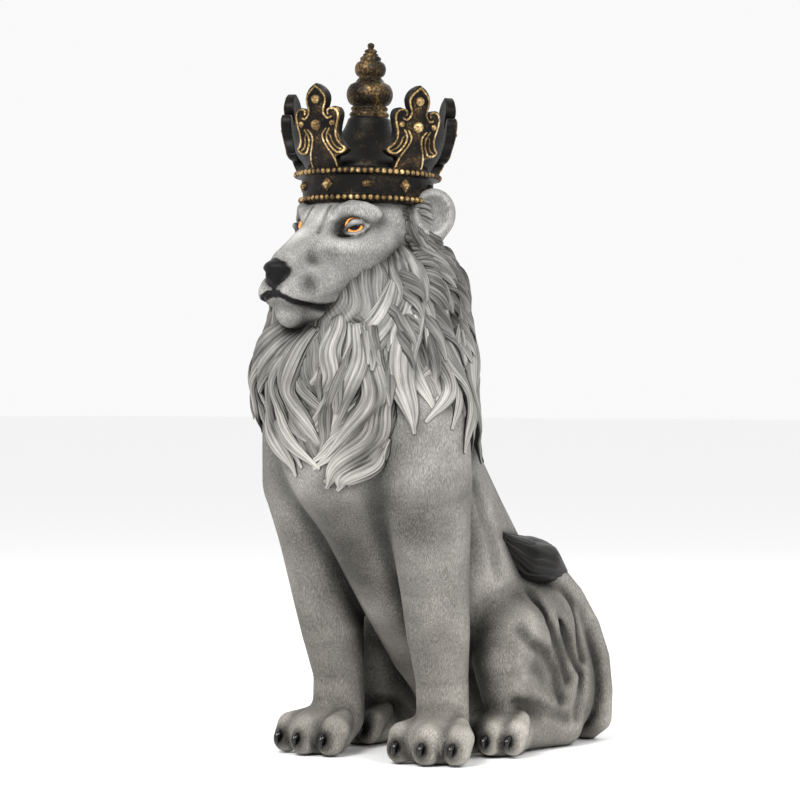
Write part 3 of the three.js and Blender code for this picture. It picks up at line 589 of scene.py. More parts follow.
# %% Tail
# Both run from the root to the end, as (x, y, z, radius)
TAIL = [
    (0, 184, 50, 18),
    (30, 200, 24, 17),
    (70, 200, 15, 17),
    (91, 190, 26, 17),
    (92, 192, 56, 16),
    (92, 188, 92, 15),
    (91, 170, 128, 15),
    (89, 142, 162, 15),
    (86, 110, 187, 16),
]
TUFT = [(86, 122, 186, 16), (84, 96, 200, 23), (82, 62, 208, 24), (84, 24, 232, 7)]
body.add(Limb(TAIL), 6)
tuft_core = Clay()
tuft_core.add(Limb(TUFT), 6)
print("body of", len(body.steps), "forms")

# %% [markdown]
# ## The head
# A lion's head is a wedge: a broad skull, a long straight bridge and two full whisker pads. It is
# turned five degrees to the lion's right, so it has a frame of its own: forward, to the left and
# up, from the middle of the crown's rim. It is the same clay as the body and modelled finer, with
# lids, nostrils and the furrows of the brow, which the solid leaves out.

# %% The head's own frame
HEAD_YAW = 5.0
SEAT_AT = np.array([-9.4, -87.0, 579.0])
yaw = math.radians(HEAD_YAW)


def head_place(forward, left, up):
    """A place of the head's frame in the drawing's."""
    return (
        SEAT_AT[0] - forward * math.sin(yaw) + left * math.cos(yaw),
        SEAT_AT[1] - forward * math.cos(yaw) - left * math.sin(yaw),
        SEAT_AT[2] + up,
    )


def head_measures(points):
    """Forward, left and up of points in the drawing, one column each."""
    d = points - SEAT_AT
    forward = -d[:, 0] * math.sin(yaw) - d[:, 1] * math.cos(yaw)
    left = d[:, 0] * math.cos(yaw) - d[:, 1] * math.sin(yaw)
    return forward, left, d[:, 2]


def head_limb(points):
    return Limb([(*head_place(*p[:3]), p[3]) for p in points])


def head_ball(place, radii, turn=0.0):
    return Ball(head_place(*place), radii, (0, 0, turn - HEAD_YAW))


print("the tip of the nose is at", [round(v) for v in head_place(134, 0, -77)])


# %% Skull, cheeks and muzzle
head = Clay()
head.add(head_ball((2, 0, -40), (60, 66, 62)), 16)
head.add(head_ball((-4, 0, -8), (58, 68, 30)), 12)
for s in (1, -1):
    head.add(head_ball((26, 34 * s, -68), (30, 46, 38)), 18)
    head.add(head_limb([(62, 16 * s, -14, 9), (58, 33 * s, -8, 9), (44, 49 * s, -12, 9)]), 14)
    head.add(head_limb([(78, 25 * s, -47, 11), (60, 39 * s, -45, 12), (30, 52 * s, -42, 12)]), 14)
head.add(head_limb([(50, 0, -28, 28), (88, 0, -50, 23), (116, 0, -64, 18)]), 14)
for s in (1, -1):
    head.add(head_limb([(66, 22 * s, -78, 26), (100, 19 * s, -84, 22), (120, 13 * s, -90, 17)]), 12)
head.add(head_ball((131, 0, -68), (15, 14, 9)), 5)
head.add(head_ball((134, 0, -77), (9, 10.5, 9)), 5)
head.add(head_limb([(44, 0, -102, 28), (86, 0, -110, 21), (110, 0, -112, 17)]), 8)
print("skull, cheeks and muzzle of", len(head.steps), "forms")

# %% Ears, eyes and mouth
EYE_AT = (54.0, 35.0, -25.0)
# Lines on the left side, as forward, left, up; the right side mirrors them
MOUTH = [
    (137, 2, -95), (136, 8, -95), (135, 16, -98), (128, 22, -102), (118, 24, -104), (104, 25, -106),
    (94, 29, -107), (80, 35, -105), (66, 41, -101.5),
]
UPPER_LID = [
    (67, 32, -30.5), (66.5, 38, -23.5), (63.5, 43, -20), (57.5, 47, -19.5), (50, 50, -23.5),
]
LOWER_LID = [
    (67, 32, -31.5), (65, 39, -31.8), (61.5, 43.5, -32), (56, 47.5, -29.5), (50, 50, -23.5),
]
BROW = [(71, 22, -15), (66, 28, -6), (59, 37, -1.5), (50, 46, -3), (40, 55, -11)]
CHEEK_GROOVE = [(66, 31.5, -32), (70, 27, -37), (78, 27.5, -45)]
FURROWS = [[(89, 17, -30), (75, 13, -11), (68, 13, -2)]]


def line_form(line, side, radius):
    """A limb along a line of the head, of one radius or of one for each point."""
    radii = radius if hasattr(radius, "__len__") else [radius] * len(line)
    return head_limb([(f, l * side, u, r) for (f, l, u), r in zip(line, radii)])


for s in (1, -1):
    ear_turn = (0, s * 6, s * 56 - HEAD_YAW)
    head.add(head_ball((-26, 62 * s, -28), (20, 16, 20)), 10)
    head.add(Ball(head_place(-24, 73 * s, -9), (24, 10, 27), ear_turn), 6)
    head.carve(Ball(head_place(-15.5, 82 * s, -7), (19, 11, 22), ear_turn), 3)
    head.add(head_limb([(36, 27 * s, -96, 23), (84, 15 * s, -110, 16)]), 10)
    head.carve(head_ball((68, 40 * s, -26), (14, 15, 8)), 9)
    head.add(head_ball((EYE_AT[0], EYE_AT[1] * s, EYE_AT[2]), (11, 11, 10)), 2)
    # Lids, the ridge of the brow and the furrows between the brows
    head.add(line_form(BROW, s, (2.5, 4.0, 4.4, 4.0, 2.5)), 6)
    head.add(line_form(UPPER_LID, s, (1.6, 2.7, 3.3, 3.0, 1.6)), 2)
    head.add(line_form(LOWER_LID, s, (1.4, 2.0, 2.1, 1.9, 1.4)), 3)
    for furrow in FURROWS:
        head.carve(line_form(furrow, s, 0.4), 4)
    # The groove from the eye down the cheek, and the line of the mouth
    head.carve(line_form(CHEEK_GROOVE, s, (0.5, 0.8, 0.5)), 4)
    head.add(line_form([(f, l + 1, u + 6.5) for f, l, u in MOUTH[2:-1]], s, 3.2), 8)
    head.carve(line_form(MOUTH, s, 1.9), 3)
    nostril = [(146, 4 * s, -75, 1.6), (142, 10 * s, -72, 2.6), (134, 14 * s, -74, 1.4)]
    head.carve(head_limb(nostril), 1.5)
# The cleft between the nose and the mouth
head.carve(head_limb([(146, 0, -78, 0.9), (140, 0, -88, 1.3), (138, 0, -97, 1.5)]), 2)
print("head of", len(head.steps), "forms")

# %% [markdown]
# ## The locks of the mane
# The mane is carved as heavy locks that overlap like tiles. Blender's hair curves could make it,
# but a casting has no loose hair: each lock is a solid wave with grooves. So each is laid like a
# strip of clay: it starts and ends at a bearing round the neck and a height, bows to one side,
# sways once to each, and lies on whatever is under it. The places are the solid's.

# %% Where the locks lie
NECK_AXIS = (-8.0, -80.0)
TIP_RADIUS = 3.0
LOCK_FULLNESS = 0.6
LOCK_START = 0.1
LOCK_SUNK = 0.24
BREAST_LOCKS = [
    # root and tip as (bearing, height), then bow, sway and radius
    ((6, 452), (8, 326), -14, -1, 14),
    ((-9, 420), (2, 306), -14, -4, 13),
    ((20, 455), (10, 372), 4, 0, 12),
    ((31, 455), (9, 324), 8, 2, 16),
    ((40, 430), (8, 306), 15, -3, 16),
    ((46, 380), (6, 286), 10, 0, 15),
    ((45, 330), (9, 284), 7, 0, 12),
    ((-9, 452), (-57, 342), -16, 0, 21),
    ((-3, 440), (-42, 350), -14, 0, 15),
    ((-26, 396), (-3, 298), -12, 0, 14),
    ((58, 500), (37, 371), -8, 4, 14),
]
SIDE_LOCKS = [
    # of the left side; the right side has their mirror images
    ((67, 505), (63, 342), -10, 3, 17),
    ((74, 470), (72, 354), 4, -3, 12),
    ((88, 500), (81, 322), 4, -7, 17),
    ((101, 500), (98, 316), 6, 5, 15),
    ((112, 505), (120, 316), -5, 5, 20),
]
BACK_ROWS = ((432, 122), (490, 114), (545, 96))  # height of the roots, and length


def back_locks():
    """Rows behind, which overlap like tiles, and the ruff behind the jaw and under the ears."""
    rows = []
    for row, (height, length) in enumerate(BACK_ROWS):
        odd = row % 2
        for i in range(6):
            bearing = 118 + 22 * (i + odd / 2)
            sway = 6 if odd else -6
            rows.append(((bearing, height), (bearing + 4, height - length), 0, sway, 21))
    for side in (1, -1):
        for i in range(5):
            bearing = side * (62 + 17 * i)
            root, tip = (bearing - side * 4, 535), (bearing + side * 8, 448)
            rows.append((root, tip, 0, side * 3, 16))
    return rows


def front_locks():
    """Locks of both sides, then of the breast, in the order in which they overlap."""
    rows = []
    for root, tip, bow, sway, radius in SIDE_LOCKS:
        rows.append((root, tip, bow, sway, radius))
        rows.append(((-root[0], root[1]), (-tip[0], tip[1]), -bow, -sway, radius))
    return rows + BREAST_LOCKS


def neck_surface(bearing, height):
    """How far the body's surface is from the neck's axis at bearings and heights."""
    dx, dy = np.sin(np.radians(bearing)), -np.cos(np.radians(bearing))
    reach = np.full(len(bearing), 170.0)
    for _ in range(60):
        d = body.distance(NECK_AXIS[0] + dx * reach, NECK_AXIS[1] + dy * reach, height)
        reach = reach - np.where(d > 0.1, d * 0.8, 0)
    return reach


print("the neck is", neck_surface(np.array([0.0]), np.array([420.0])).round(1), "mm deep in front")

# %% Lock paths
LOCK_RINGS = 38


def lock_path(
    root, tip, bow, sway, radius,
    rings=LOCK_RINGS, sunk=LOCK_SUNK, wave=0.0, phase=0.0, hook=0.0,
):
    """Middle line and radii of a lock, from root to tip. The wave grows towards the tip, from
    its phase, and the hook turns the tip aside; both are in degrees round the neck."""
    t = np.linspace(0, 1, rings)
    bend = bow * np.sin(np.pi * t) + sway * np.sin(2 * np.pi * t)
    bend = bend + wave * t * np.sin(3.2 * np.pi * t + phase) + hook * t**5
    bearing = root[0] + (tip[0] - root[0]) * t + bend
    height = root[1] + (tip[1] - root[1]) * t
    swell = np.sin(np.pi * (LOCK_START + (1 - LOCK_START) * t)).clip(0) ** LOCK_FULLNESS
    size = np.maximum(min(TIP_RADIUS, 0.4 * radius), radius * swell)
    reach = neck_surface(bearing, height) - sunk * size
    x = NECK_AXIS[0] + reach * np.sin(np.radians(bearing))
    y = NECK_AXIS[1] - reach * np.cos(np.radians(bearing))
    return np.stack([x, y, height], axis=1), size


back_lines = [lock_path(*row) for row in back_locks()]
front_lines = [lock_path(*row) for row in front_locks()]
print(len(back_lines), "locks behind and", len(front_lines), "in front and at the sides")

# %% [markdown]
# ## The whole figure as one field
# All forms together, on a coarse grid, tell how open or how hidden each place is. The hidden
# places are painted dark as shade, where the figure shades itself, together with the painter's
# dark wash that stays there; the dry brush catches the open ones.

# %% The whole figure
figure = Clay(body.steps + tuft_core.steps)
for places, sizes in back_lines + front_lines:
    figure.add(Limb(np.column_stack([places, sizes])[:: 4]), 3)
figure.steps += head.steps
whole_low, whole_high = figure.box()
whole = Field(*figure.sampled(4.0, whole_low - 30, whole_high + 30), 4.0)
print("whole figure sampled on", whole.values.shape)


def openness(points, normals):
    """1 where a place is open to the air, falling to 0 in the depth of a fold: how far away
    the figure is from points 6, 14 and 30 mm out."""
    total = 0
    for reach, share in ((6, 0.35), (14, 0.35), (30, 0.3)):
        total = total + share * np.clip(whole.at(points + normals * reach) / reach, 0, 1)
    return total


# %% Attributes
def set_values(thing, name, values):
    """Writes one number for each point of a mesh."""
    layer = thing.data.attributes.new(name, "FLOAT", "POINT")
    layer.data.foreach_set("value", np.asarray(values, np.float32))


def point_normals(thing):
    """The direction in which each point of a mesh faces."""
    normals = np.zeros(len(thing.data.vertices) * 3)
    thing.data.vertex_normals.foreach_get("vector", normals)
    return normals.reshape(-1, 3)


def bulge(points, faces, rounds=2):
    """How far each point stands out from its neighbours, smoothed: ridges +, creases -."""
    normals = np.zeros_like(points)
    corner = points[faces]
    across = np.cross(corner[:, 2] - corner[:, 0], corner[:, 3] - corner[:, 1])
    around = np.zeros_like(points)
    count = np.zeros(len(points))
    for i in range(4):
        np.add.at(normals, faces[:, i], across)
        np.add.at(around, faces[:, i], corner[:, (i + 1) % 4] + corner[:, (i - 1) % 4])
        np.add.at(count, faces[:, i], 2)
    normals /= np.maximum(np.linalg.norm(normals, axis=1, keepdims=True), 1e-12)
    value = ((points - around / count[:, None]) * normals).sum(axis=1)
    for _ in range(rounds):
        total = np.zeros(len(points))
        for i in range(4):
            beside = value[faces[:, (i + 1) % 4]] + value[faces[:, (i - 1) % 4]]
            np.add.at(total, faces[:, i], beside)
        value = 0.5 * value + 0.5 * total / count
    return value, normals


def near(points, place, radius):
    """1 at a place, falling softly to 0 at a radius."""
    d = np.linalg.norm((points - np.array(place)) / np.array(radius), axis=1)
    return np.clip(1 - d, 0, 1) ** 2 * (3 - 2 * np.clip(1 - d, 0, 1))


in_front = np.array([[0.0, -190.0, 300.0]])
print("the air before the breast is", openness(in_front, np.array([[0.0, -1.0, 0.0]])), "open")

# %% [markdown]
# ## Painting the lion
# Polyester resin filled with stone powder, cast in a rubber mould and painted by hand. It is
# sprayed mid grey. A dark wash is brushed on and wiped off, so that it stays in the folds, and a
# nearly dry pale brush is dragged over the high places. A picture could hold all this, but it
# would fit one mesh only. Here the paint is worked out for every point of the mesh as one tone,
# from 0 for the wash to 1 for the pale brush; the same tone also carries painted shade, in the
# folds and hollows and by the way each surface faces, and painted highlights. The material turns
# the tone into colour and adds the short strokes of the fur.

# %% Grey paint
WASH_AND_SHADE_COLOUR = screen_colour("161514")
SHADE_COLOUR = screen_colour("454442")
GREY_COLOUR = screen_colour("737270")
PALE_COLOUR = screen_colour("a6a5a2")
BRUSH_AND_HIGHLIGHT_COLOUR = screen_colour("d2d1cd")
GLOSS_BLACK = screen_colour("0b0a0a")
LOW_WARM_TINT = (1.0, 0.955, 0.87, 1.0)
MATT_ROUGHNESS, BLACK_ROUGHNESS = 0.68, 0.34
SWAYS_TO_THE_METRE = 22.0  # the fur changes its lie about every 45 mm
PATCHES_TO_THE_METRE = 14.0  # the wash was wiped with a cloth, in patches some 70 mm across
PATCH_TONE = 0.56


def grey_paint(name, strokes, stroke_depth, stroke_tone, use_uv=False):
    """Painted resin. strokes are the fur's strokes to the metre along X, Y and Z, or to the
    millimetre across and along a lock; stroke_tone is how much they lighten and darken."""
    material, tree, shader = new_material(name)
    place = node_in(tree, "ShaderNodeTexCoord")
    source = place.outputs["UV" if use_uv else "Object"]
    sway = node_in(
        tree, "ShaderNodeTexNoise",
        Vector=place.outputs["Object"], Scale=SWAYS_TO_THE_METRE, Detail=2.0,
    )
    drift = node_in(
        tree, "ShaderNodeVectorMath", operation="SCALE",
        i0=sway.outputs["Color"], Scale=0.6 if use_uv else 0.02,
    )
    moved = node_in(
        tree, "ShaderNodeVectorMath", operation="ADD", i0=source, i1=drift.outputs["Vector"]
    )
    stretched = node_in(
        tree, "ShaderNodeVectorMath", operation="MULTIPLY", i0=moved.outputs["Vector"], i1=strokes
    )
    fur = node_in(
        tree, "ShaderNodeTexNoise",
        Vector=stretched.outputs["Vector"], Scale=1.0, Detail=3.0, Roughness=0.6,
    )
    patches = node_in(
        tree, "ShaderNodeTexNoise",
        Vector=place.outputs["Object"], Scale=PATCHES_TO_THE_METRE, Detail=4.0,
    )
    tone = node_in(tree, "ShaderNodeAttribute", attribute_name="tone")
    # Each pattern changes the tone by half its strength either way
    fur_part = node_in(
        tree, "ShaderNodeMath", operation="MULTIPLY_ADD",
        i0=fur.outputs["Fac"], i1=stroke_tone, i2=-stroke_tone / 2,
    )
    patch_part = node_in(
        tree, "ShaderNodeMath", operation="MULTIPLY_ADD",
        i0=patches.outputs["Fac"], i1=PATCH_TONE, i2=-PATCH_TONE / 2,
    )
    both = node_in(
        tree, "ShaderNodeMath", operation="ADD", i0=fur_part.outputs[0], i1=patch_part.outputs[0]
    )
    mixed = node_in(
        tree, "ShaderNodeMath", operation="ADD", i0=both.outputs[0], i1=tone.outputs["Fac"]
    )
    ramp = node_in(tree, "ShaderNodeValToRGB", i0=mixed.outputs[0])
    # The ramp's dark end is the wash together with painted shade, and its pale end the dry brush together
    # with painted highlights
    stops = ramp.color_ramp.elements
    stops[0].position, stops[0].color = 0.0, WASH_AND_SHADE_COLOUR
    stops[1].position, stops[1].color = 1.0, BRUSH_AND_HIGHLIGHT_COLOUR
    for position, colour in ((0.28, SHADE_COLOUR), (0.52, GREY_COLOUR), (0.76, PALE_COLOUR)):
        stops.new(position).color = colour
    # Nose, lips, lids and claws' roots are brushed over with gloss black
    black = node_in(tree, "ShaderNodeAttribute", attribute_name="black")
    colour = node_in(
        tree, "ShaderNodeMix", data_type="RGBA",
        i0=black.outputs["Fac"], i6=ramp.outputs["Color"], i7=GLOSS_BLACK,
    )
    # The grey turns a little warmer towards the floor, from half a metre up
    height = node_in(tree, "ShaderNodeSeparateXYZ", i0=place.outputs["Object"])
    nearer_floor = node_in(
        tree, "ShaderNodeMapRange", i0=height.outputs["Z"], i1=0.05, i2=0.5, i3=0.9, i4=0.15
    )
    warm = node_in(
        tree, "ShaderNodeMix", data_type="RGBA", blend_type="MULTIPLY",
        i0=nearer_floor.outputs[0], i6=colour.outputs[2], i7=LOW_WARM_TINT,
    )
    tree.links.new(warm.outputs[2], shader.inputs["Base Color"])
    rough = node_in(
        tree, "ShaderNodeMapRange", i0=black.outputs["Fac"], i3=MATT_ROUGHNESS, i4=BLACK_ROUGHNESS
    )
    tree.links.new(rough.outputs[0], shader.inputs["Roughness"])
    relief = node_in(
        tree, "ShaderNodeBump", Strength=0.55, Distance=stroke_depth, Height=fur.outputs["Fac"]
    )
    tree.links.new(relief.outputs["Normal"], shader.inputs["Normal"])
    shader.inputs["Specular IOR Level"].default_value = 0.14
    return material


# %% The two grey finishes
# Matt acrylic over a mould's fine fur: the eye sees soft grey flecks that follow the fur, and
# hardly a highlight. The fur's strokes are about 1 mm wide and 4 mm long, standing upright.
short_fur = grey_paint("grey resin with short fur", (1050.0, 1050.0, 260.0), 0.0012, 0.66)
# The same paint dragged along the locks: long pale and dark hairs that run from root to tip. The
# modelled hairs are about 0.4 mm wide, too fine to show here, so they are drawn 0.9 mm wide and
# 33 mm long, in the lock's own map of millimetres.
mane_hair = grey_paint("grey resin with combed hair", (1.1, 0.03, 1.0), 0.001, 0.62, use_uv=True)
print("finishes:", short_fur.name, "and", mane_hair.name)


def soft_step(value, start, stop):
    """0 before the start, 1 after the stop, and a smooth slope between them."""
    t = np.clip((value - start) / (stop - start), 0, 1)
    return t * t * (3 - 2 * t)


# %% [markdown]
# ## Body mesh
# The body is meshed at three millimetres, which still holds the toes and keeps the piece under
# 200,000 triangles. The forelegs, chest, flanks and thighs get soft patches of painted shade, at
# the edges of the legs, between them and along the muscles, as the painter's airbrush lays it. They
# could be painted by hand on the mesh; as places and radii they stay the same however finely the
# body is meshed.

# %% Body mesh
BODY_CELL = 3.1
BODY_RIDGE = 2.7  # a ridge of the clay counts as sharp against a cell of this size
BODY_PAINTED_SHADE = [
    # place, radii, how much painted shade
    ((60, -150, 300), (44, 30, 60), 0.16),
    ((96, -120, 250), (30, 40, 40), 0.18),
    ((-112, -80, 300), (44, 80, 110), 0.36),
    ((0, -150, 250), (60, 50, 80), 0.14),
    ((-104, -66, 150), (24, 60, 120), 0.30),
    ((-52, -70, 180), (26, 50, 130), 0.26),
    ((0, -110, 230), (40, 60, 90), 0.22),
    ((112, 60, 150), (30, 30, 40), 0.16),
    ((112, 96, 100), (24, 30, 60), 0.14),
    ((96, 170, 60), (40, 40, 90), 0.24),
    ((100, 60, 214), (30, 60, 26), 0.20),
    ((90, -20, 240), (20, 22, 120), 0.16),
]


def finish_piece(thing, material, node):
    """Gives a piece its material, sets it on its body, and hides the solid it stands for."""
    thing.data.materials.append(material)
    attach(thing, "root")
    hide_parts(node)
    triangles = sum(len(p.vertices) - 2 for p in thing.data.polygons)
    print(thing.name, len(thing.data.vertices), "points", triangles, "triangles")


def cut_by_floor(points):
    """Clay below the floor is pressed flat on it."""
    points[:, 2] = np.maximum(points[:, 2], 0)
    return points


body_low, body_high = body.box()
body_low[2] = -6.0  # what is further below the floor is not needed
points, faces, body_field = modelled(body, BODY_CELL, body_low, body_high)
ridge, normals = bulge(points, faces, 3)
open_air = openness(points, normals)
# The ridges are dry-brushed pale and the creases painted dark as shade; the hidden places get painted
# shade together with the wash
body_tone = 0.5 + 1.9 * np.clip(BODY_RIDGE * ridge / BODY_CELL**2, -0.2, 0.12)
body_tone -= 0.55 * (1 - open_air) ** 1.3
# Painted light: surfaces facing to the sides, along X, are painted a little lighter, and those facing
# forwards, backwards, up or down a little darker
body_tone += 0.1 * (normals[:, 0] ** 2 - 0.42)
# Soft patches of painted shade
for place, radii, darker in BODY_PAINTED_SHADE:
    body_tone -= darker * near(points, place, radii)
points = cut_by_floor(points)
lion_body = mesh_object("lion_body", (points + DRAWN_TO_FRAME) * MM, faces.tolist())

# Painted shade and the wash lie in the hollows round the claws, and the sole and the claws' roots are
# black
claw_places = [paw_place(paw, a, paw[2] * share + 10, 18) for paw in PAWS for a, share in TOES]
from_claw = np.min([np.linalg.norm(points - c, axis=1) for c in claw_places], axis=0)
body_tone -= 0.34 * soft_step(from_claw, 16, 7)
black_sole = soft_step(points[:, 2], 3.5, 1.5)
set_values(lion_body, "tone", body_tone)
set_values(lion_body, "black", np.maximum(black_sole, 0.9 * soft_step(from_claw, 8.0, 5.5)))
finish_piece(lion_body, short_fur, "lion")

# %% [markdown]
# ## Head mesh
# The head is meshed at a little over one millimetre, for the lids and nostrils. Nose, lips and
# lids are painted gloss black. Soft patches of painted shade lie round the eyes, under the lips and
# chin and behind the cheeks, the whisker pads are dark, and painted highlights make the bridge of
# the nose, the forehead and the cheeks under the eyes pale. The black could be a second material on
# chosen faces, but its edge would then be a staircase, so it is a second number at each point.

# %% Head mesh
HEAD_CELL = 1.4
HEAD_RIDGE = 1.3
PAINTED_HEAD_SHADE_AND_LIGHT = [
    # forward, left, up; radii; how much painted shade, or painted highlight where it is less than nought
    ((70, 30, -28), (12, 14, 12), 0.16),
    ((44, 54, -18), (22, 16, 16), 0.14),
    ((116, 31, -84), (17, 15, 15), 0.36),
    ((100, 30, -80), (26, 14, 18), 0.20),
    ((84, 30, -52), (12, 12, 12), 0.14),
    ((104, 22, -60), (12, 13, 20), 0.2),
    ((38, 62, -76), (22, 24, 26), 0.16),
    ((60, 44, -102), (22, 18, 14), 0.34),
    ((14, 64, -50), (20, 16, 34), 0.14),
    ((112, 14, -122), (30, 22, 10), 0.08),
    ((60, 34, 2), (20, 20, 8), 0.12),
    ((98, 0, -34), (56, 15, 20), -0.26),
    ((80, 10, -12), (24, 22, 16), -0.20),
    ((66, 44, -46), (26, 16, 9), -0.10),
]
points, faces, _ = modelled(head, HEAD_CELL)
ridge, normals = bulge(points, faces, 3)
open_air = openness(points, normals)
# The ridges are dry-brushed pale and the creases painted dark as shade; the hidden places get painted
# shade together with the wash
head_tone = 0.54 + 1.7 * np.clip(HEAD_RIDGE * ridge / HEAD_CELL**2, -0.2, 0.1)
head_tone -= 0.46 * (1 - open_air) ** 1.3
forward, left, up = head_measures(points)
sided = np.column_stack([forward, np.abs(left), up])
# Patches of painted shade, and painted highlights where the amount is less than nought
for place, radii, darker in PAINTED_HEAD_SHADE_AND_LIGHT:
    head_tone -= darker * near(sided, place, radii)


def along_line(points, line):
    """Distance from points to a line through places."""
    best = np.full(len(points), 1e9)
    for a, b in zip(line, line[1:]):
        a, b = np.array(a[:3], float), np.array(b[:3], float)
        t = np.clip(((points - a) @ (b - a)) / ((b - a) @ (b - a)), 0, 1)
        best = np.minimum(best, np.linalg.norm(points - a - t[:, None] * (b - a), axis=1))
    return best


def of_side(line):
    """A line of the head as the places that sided points are compared with."""
    return along_line(sided, line)


NOSE_WIDTH = [
    # up, and half the black's width there: the cleft, and the pad above it
    (-99, 2.0), (-94, 2.6), (-88, 3.6), (-85, 8.5), (-81, 14.5), (-76, 17), (-68, 16.5),
    (-62, 13), (-58.5, 5), (-57, 0),
]
half_width = np.interp(up, *np.array(NOSE_WIDTH).T, left=0, right=0)
on_nose = soft_step(np.abs(left) - half_width, 0.8, -0.8) * (half_width > 0.5)
on_nose = on_nose * soft_step(forward, 116, 120)
from_mouth = of_side(MOUTH)
lower_lip = soft_step(from_mouth, 8.5, 4.5) * soft_step(up, -100, -104)
black = np.maximum.reduce([
    soft_step(from_mouth, 5.4, 4.0) * soft_step(forward, 60, 66),
    0.8 * lower_lip * soft_step(forward, 70, 84),
    0.7 * soft_step(of_side(UPPER_LID), 3.6, 2.4) * soft_step(forward, 52, 58),
    0.45 * soft_step(of_side(LOWER_LID), 2.4, 1.5),
    on_nose,
])
# Painted shade in the groove down the cheek and in the furrows of the brow
head_tone -= 0.26 * soft_step(of_side(CHEEK_GROOVE), 6, 1.0)
for furrow in FURROWS:
    head_tone -= 0.12 * soft_step(of_side(furrow), 5, 1.0)
lion_head = mesh_object("lion_head", (points + DRAWN_TO_FRAME) * MM, faces.tolist())
set_values(lion_head, "tone", head_tone)
set_values(lion_head, "black", black)
finish_piece(lion_head, short_fur, "lion")

# %% [markdown]
# ## Eyes
# Each eye is a ball in its socket with an amber iris and a large black pupil, under clear gloss.
# A ball from Blender's own menu would do, but its poles would not point along the line of sight.
# Here they do, and one number for each point, its angle from that line, places the rings of
# colour without any picture.

# %% Eye mesh
EYE_RADIUS = 11.7


def eye_points(side):
    """Points of one eye from the pupil backwards, their angles from the line of sight, and
    the faces between them."""
    rings, segments = 40, 48
    sight = np.array(head_place(1, 0.86 * side, 0.44)) - SEAT_AT
    sight /= np.linalg.norm(sight)
    across = np.cross(sight, (0, 0, 1))
    across /= np.linalg.norm(across)
    above = np.cross(across, sight)
    centre = np.array(head_place(EYE_AT[0] + 0.8, (EYE_AT[1] + 0.8) * side, EYE_AT[2]))
    points, angles = [centre + EYE_RADIUS * sight], [0.0]
    for i in range(1, rings):
        polar = math.pi * i / rings
        for j in range(segments):
            turn = 2 * math.pi * j / segments
            aside = math.cos(turn) * across + math.sin(turn) * above
            points.append(
                centre + EYE_RADIUS * (math.cos(polar) * sight + math.sin(polar) * aside)
            )
            angles.append(polar)
    points.append(centre - EYE_RADIUS * sight)
    angles.append(math.pi)
    faces = []
    for j in range(segments):
        k = (j + 1) % segments
        faces.append((0, 1 + k, 1 + j))
        for i in range(rings - 2):
            a, b = 1 + i * segments, 1 + (i + 1) * segments
            faces.append((a + j, a + k, b + k, b + j))
        last = 1 + (rings - 2) * segments
        faces.append((last + j, last + k, len(points) - 1))
    return np.array(points), angles, faces


left_points, left_angles, left_faces = eye_points(1)
right_points, right_angles, right_faces = eye_points(-1)
shifted = [tuple(v + len(left_points) for v in f) for f in right_faces]
both_eyes = (np.vstack([left_points, right_points]) + DRAWN_TO_FRAME) * MM
eyes = mesh_object("eyes", both_eyes, left_faces + shifted)
set_values(eyes, "sight_angle", left_angles + right_angles)
print("each eye is", 2 * EYE_RADIUS, "mm across")

# %% Eye paint
# Enamel under clear varnish, put on with a fine brush: a glow of amber and one sharp highlight,
# so it is nearly as smooth as glass. The stops are shares of half a turn from the line of sight.
painted_eye, tree, shader = new_material("gloss painted eye")
angle = node_in(tree, "ShaderNodeAttribute", attribute_name="sight_angle")
share = node_in(tree, "ShaderNodeMath", operation="DIVIDE", i0=angle.outputs["Fac"], i1=math.pi)
rings = node_in(tree, "ShaderNodeValToRGB", i0=share.outputs[0])
stops = rings.color_ramp.elements
stops[0].position, stops[0].color = 0.0, GLOSS_BLACK
stops[1].position, stops[1].color = 1.0, GLOSS_BLACK
for position, colour in (
    (0.185, "0b0a0a"),
    (0.2, "a8602a"),
    (0.235, "eda45a"),
    (0.29, "e0914a"),
    (0.315, "7a4420"),
    (0.33, "120f0e"),
):
    stops.new(position).color = screen_colour(colour)
tree.links.new(rings.outputs["Color"], shader.inputs["Base Color"])
shader.inputs["Roughness"].default_value = 0.08
shader.inputs["Specular IOR Level"].default_value = 0.16
finish_piece(eyes, painted_eye, "lion")

# %% [markdown]
# ## The mane's ribbons
# A carved lock is a flat ribbon, not a rope: wide across, shallow outwards, and rolled a little so
# that one edge stands over the next lock. A few deep grooves part it into hanks and many fine ones
# into strands, and both gather towards the tip. A curve with a bevelled section could be swept
# along the lock, but its section cannot change from ring to ring, so the rings are worked out
# here. The ribbon carries its own map, in millimetres across and along, so that the finest hairs
# of the paint follow it.

# %% Sweeping a ribbon
INNER_POINTS = 5
HALF_SPREAD = math.radians(112)


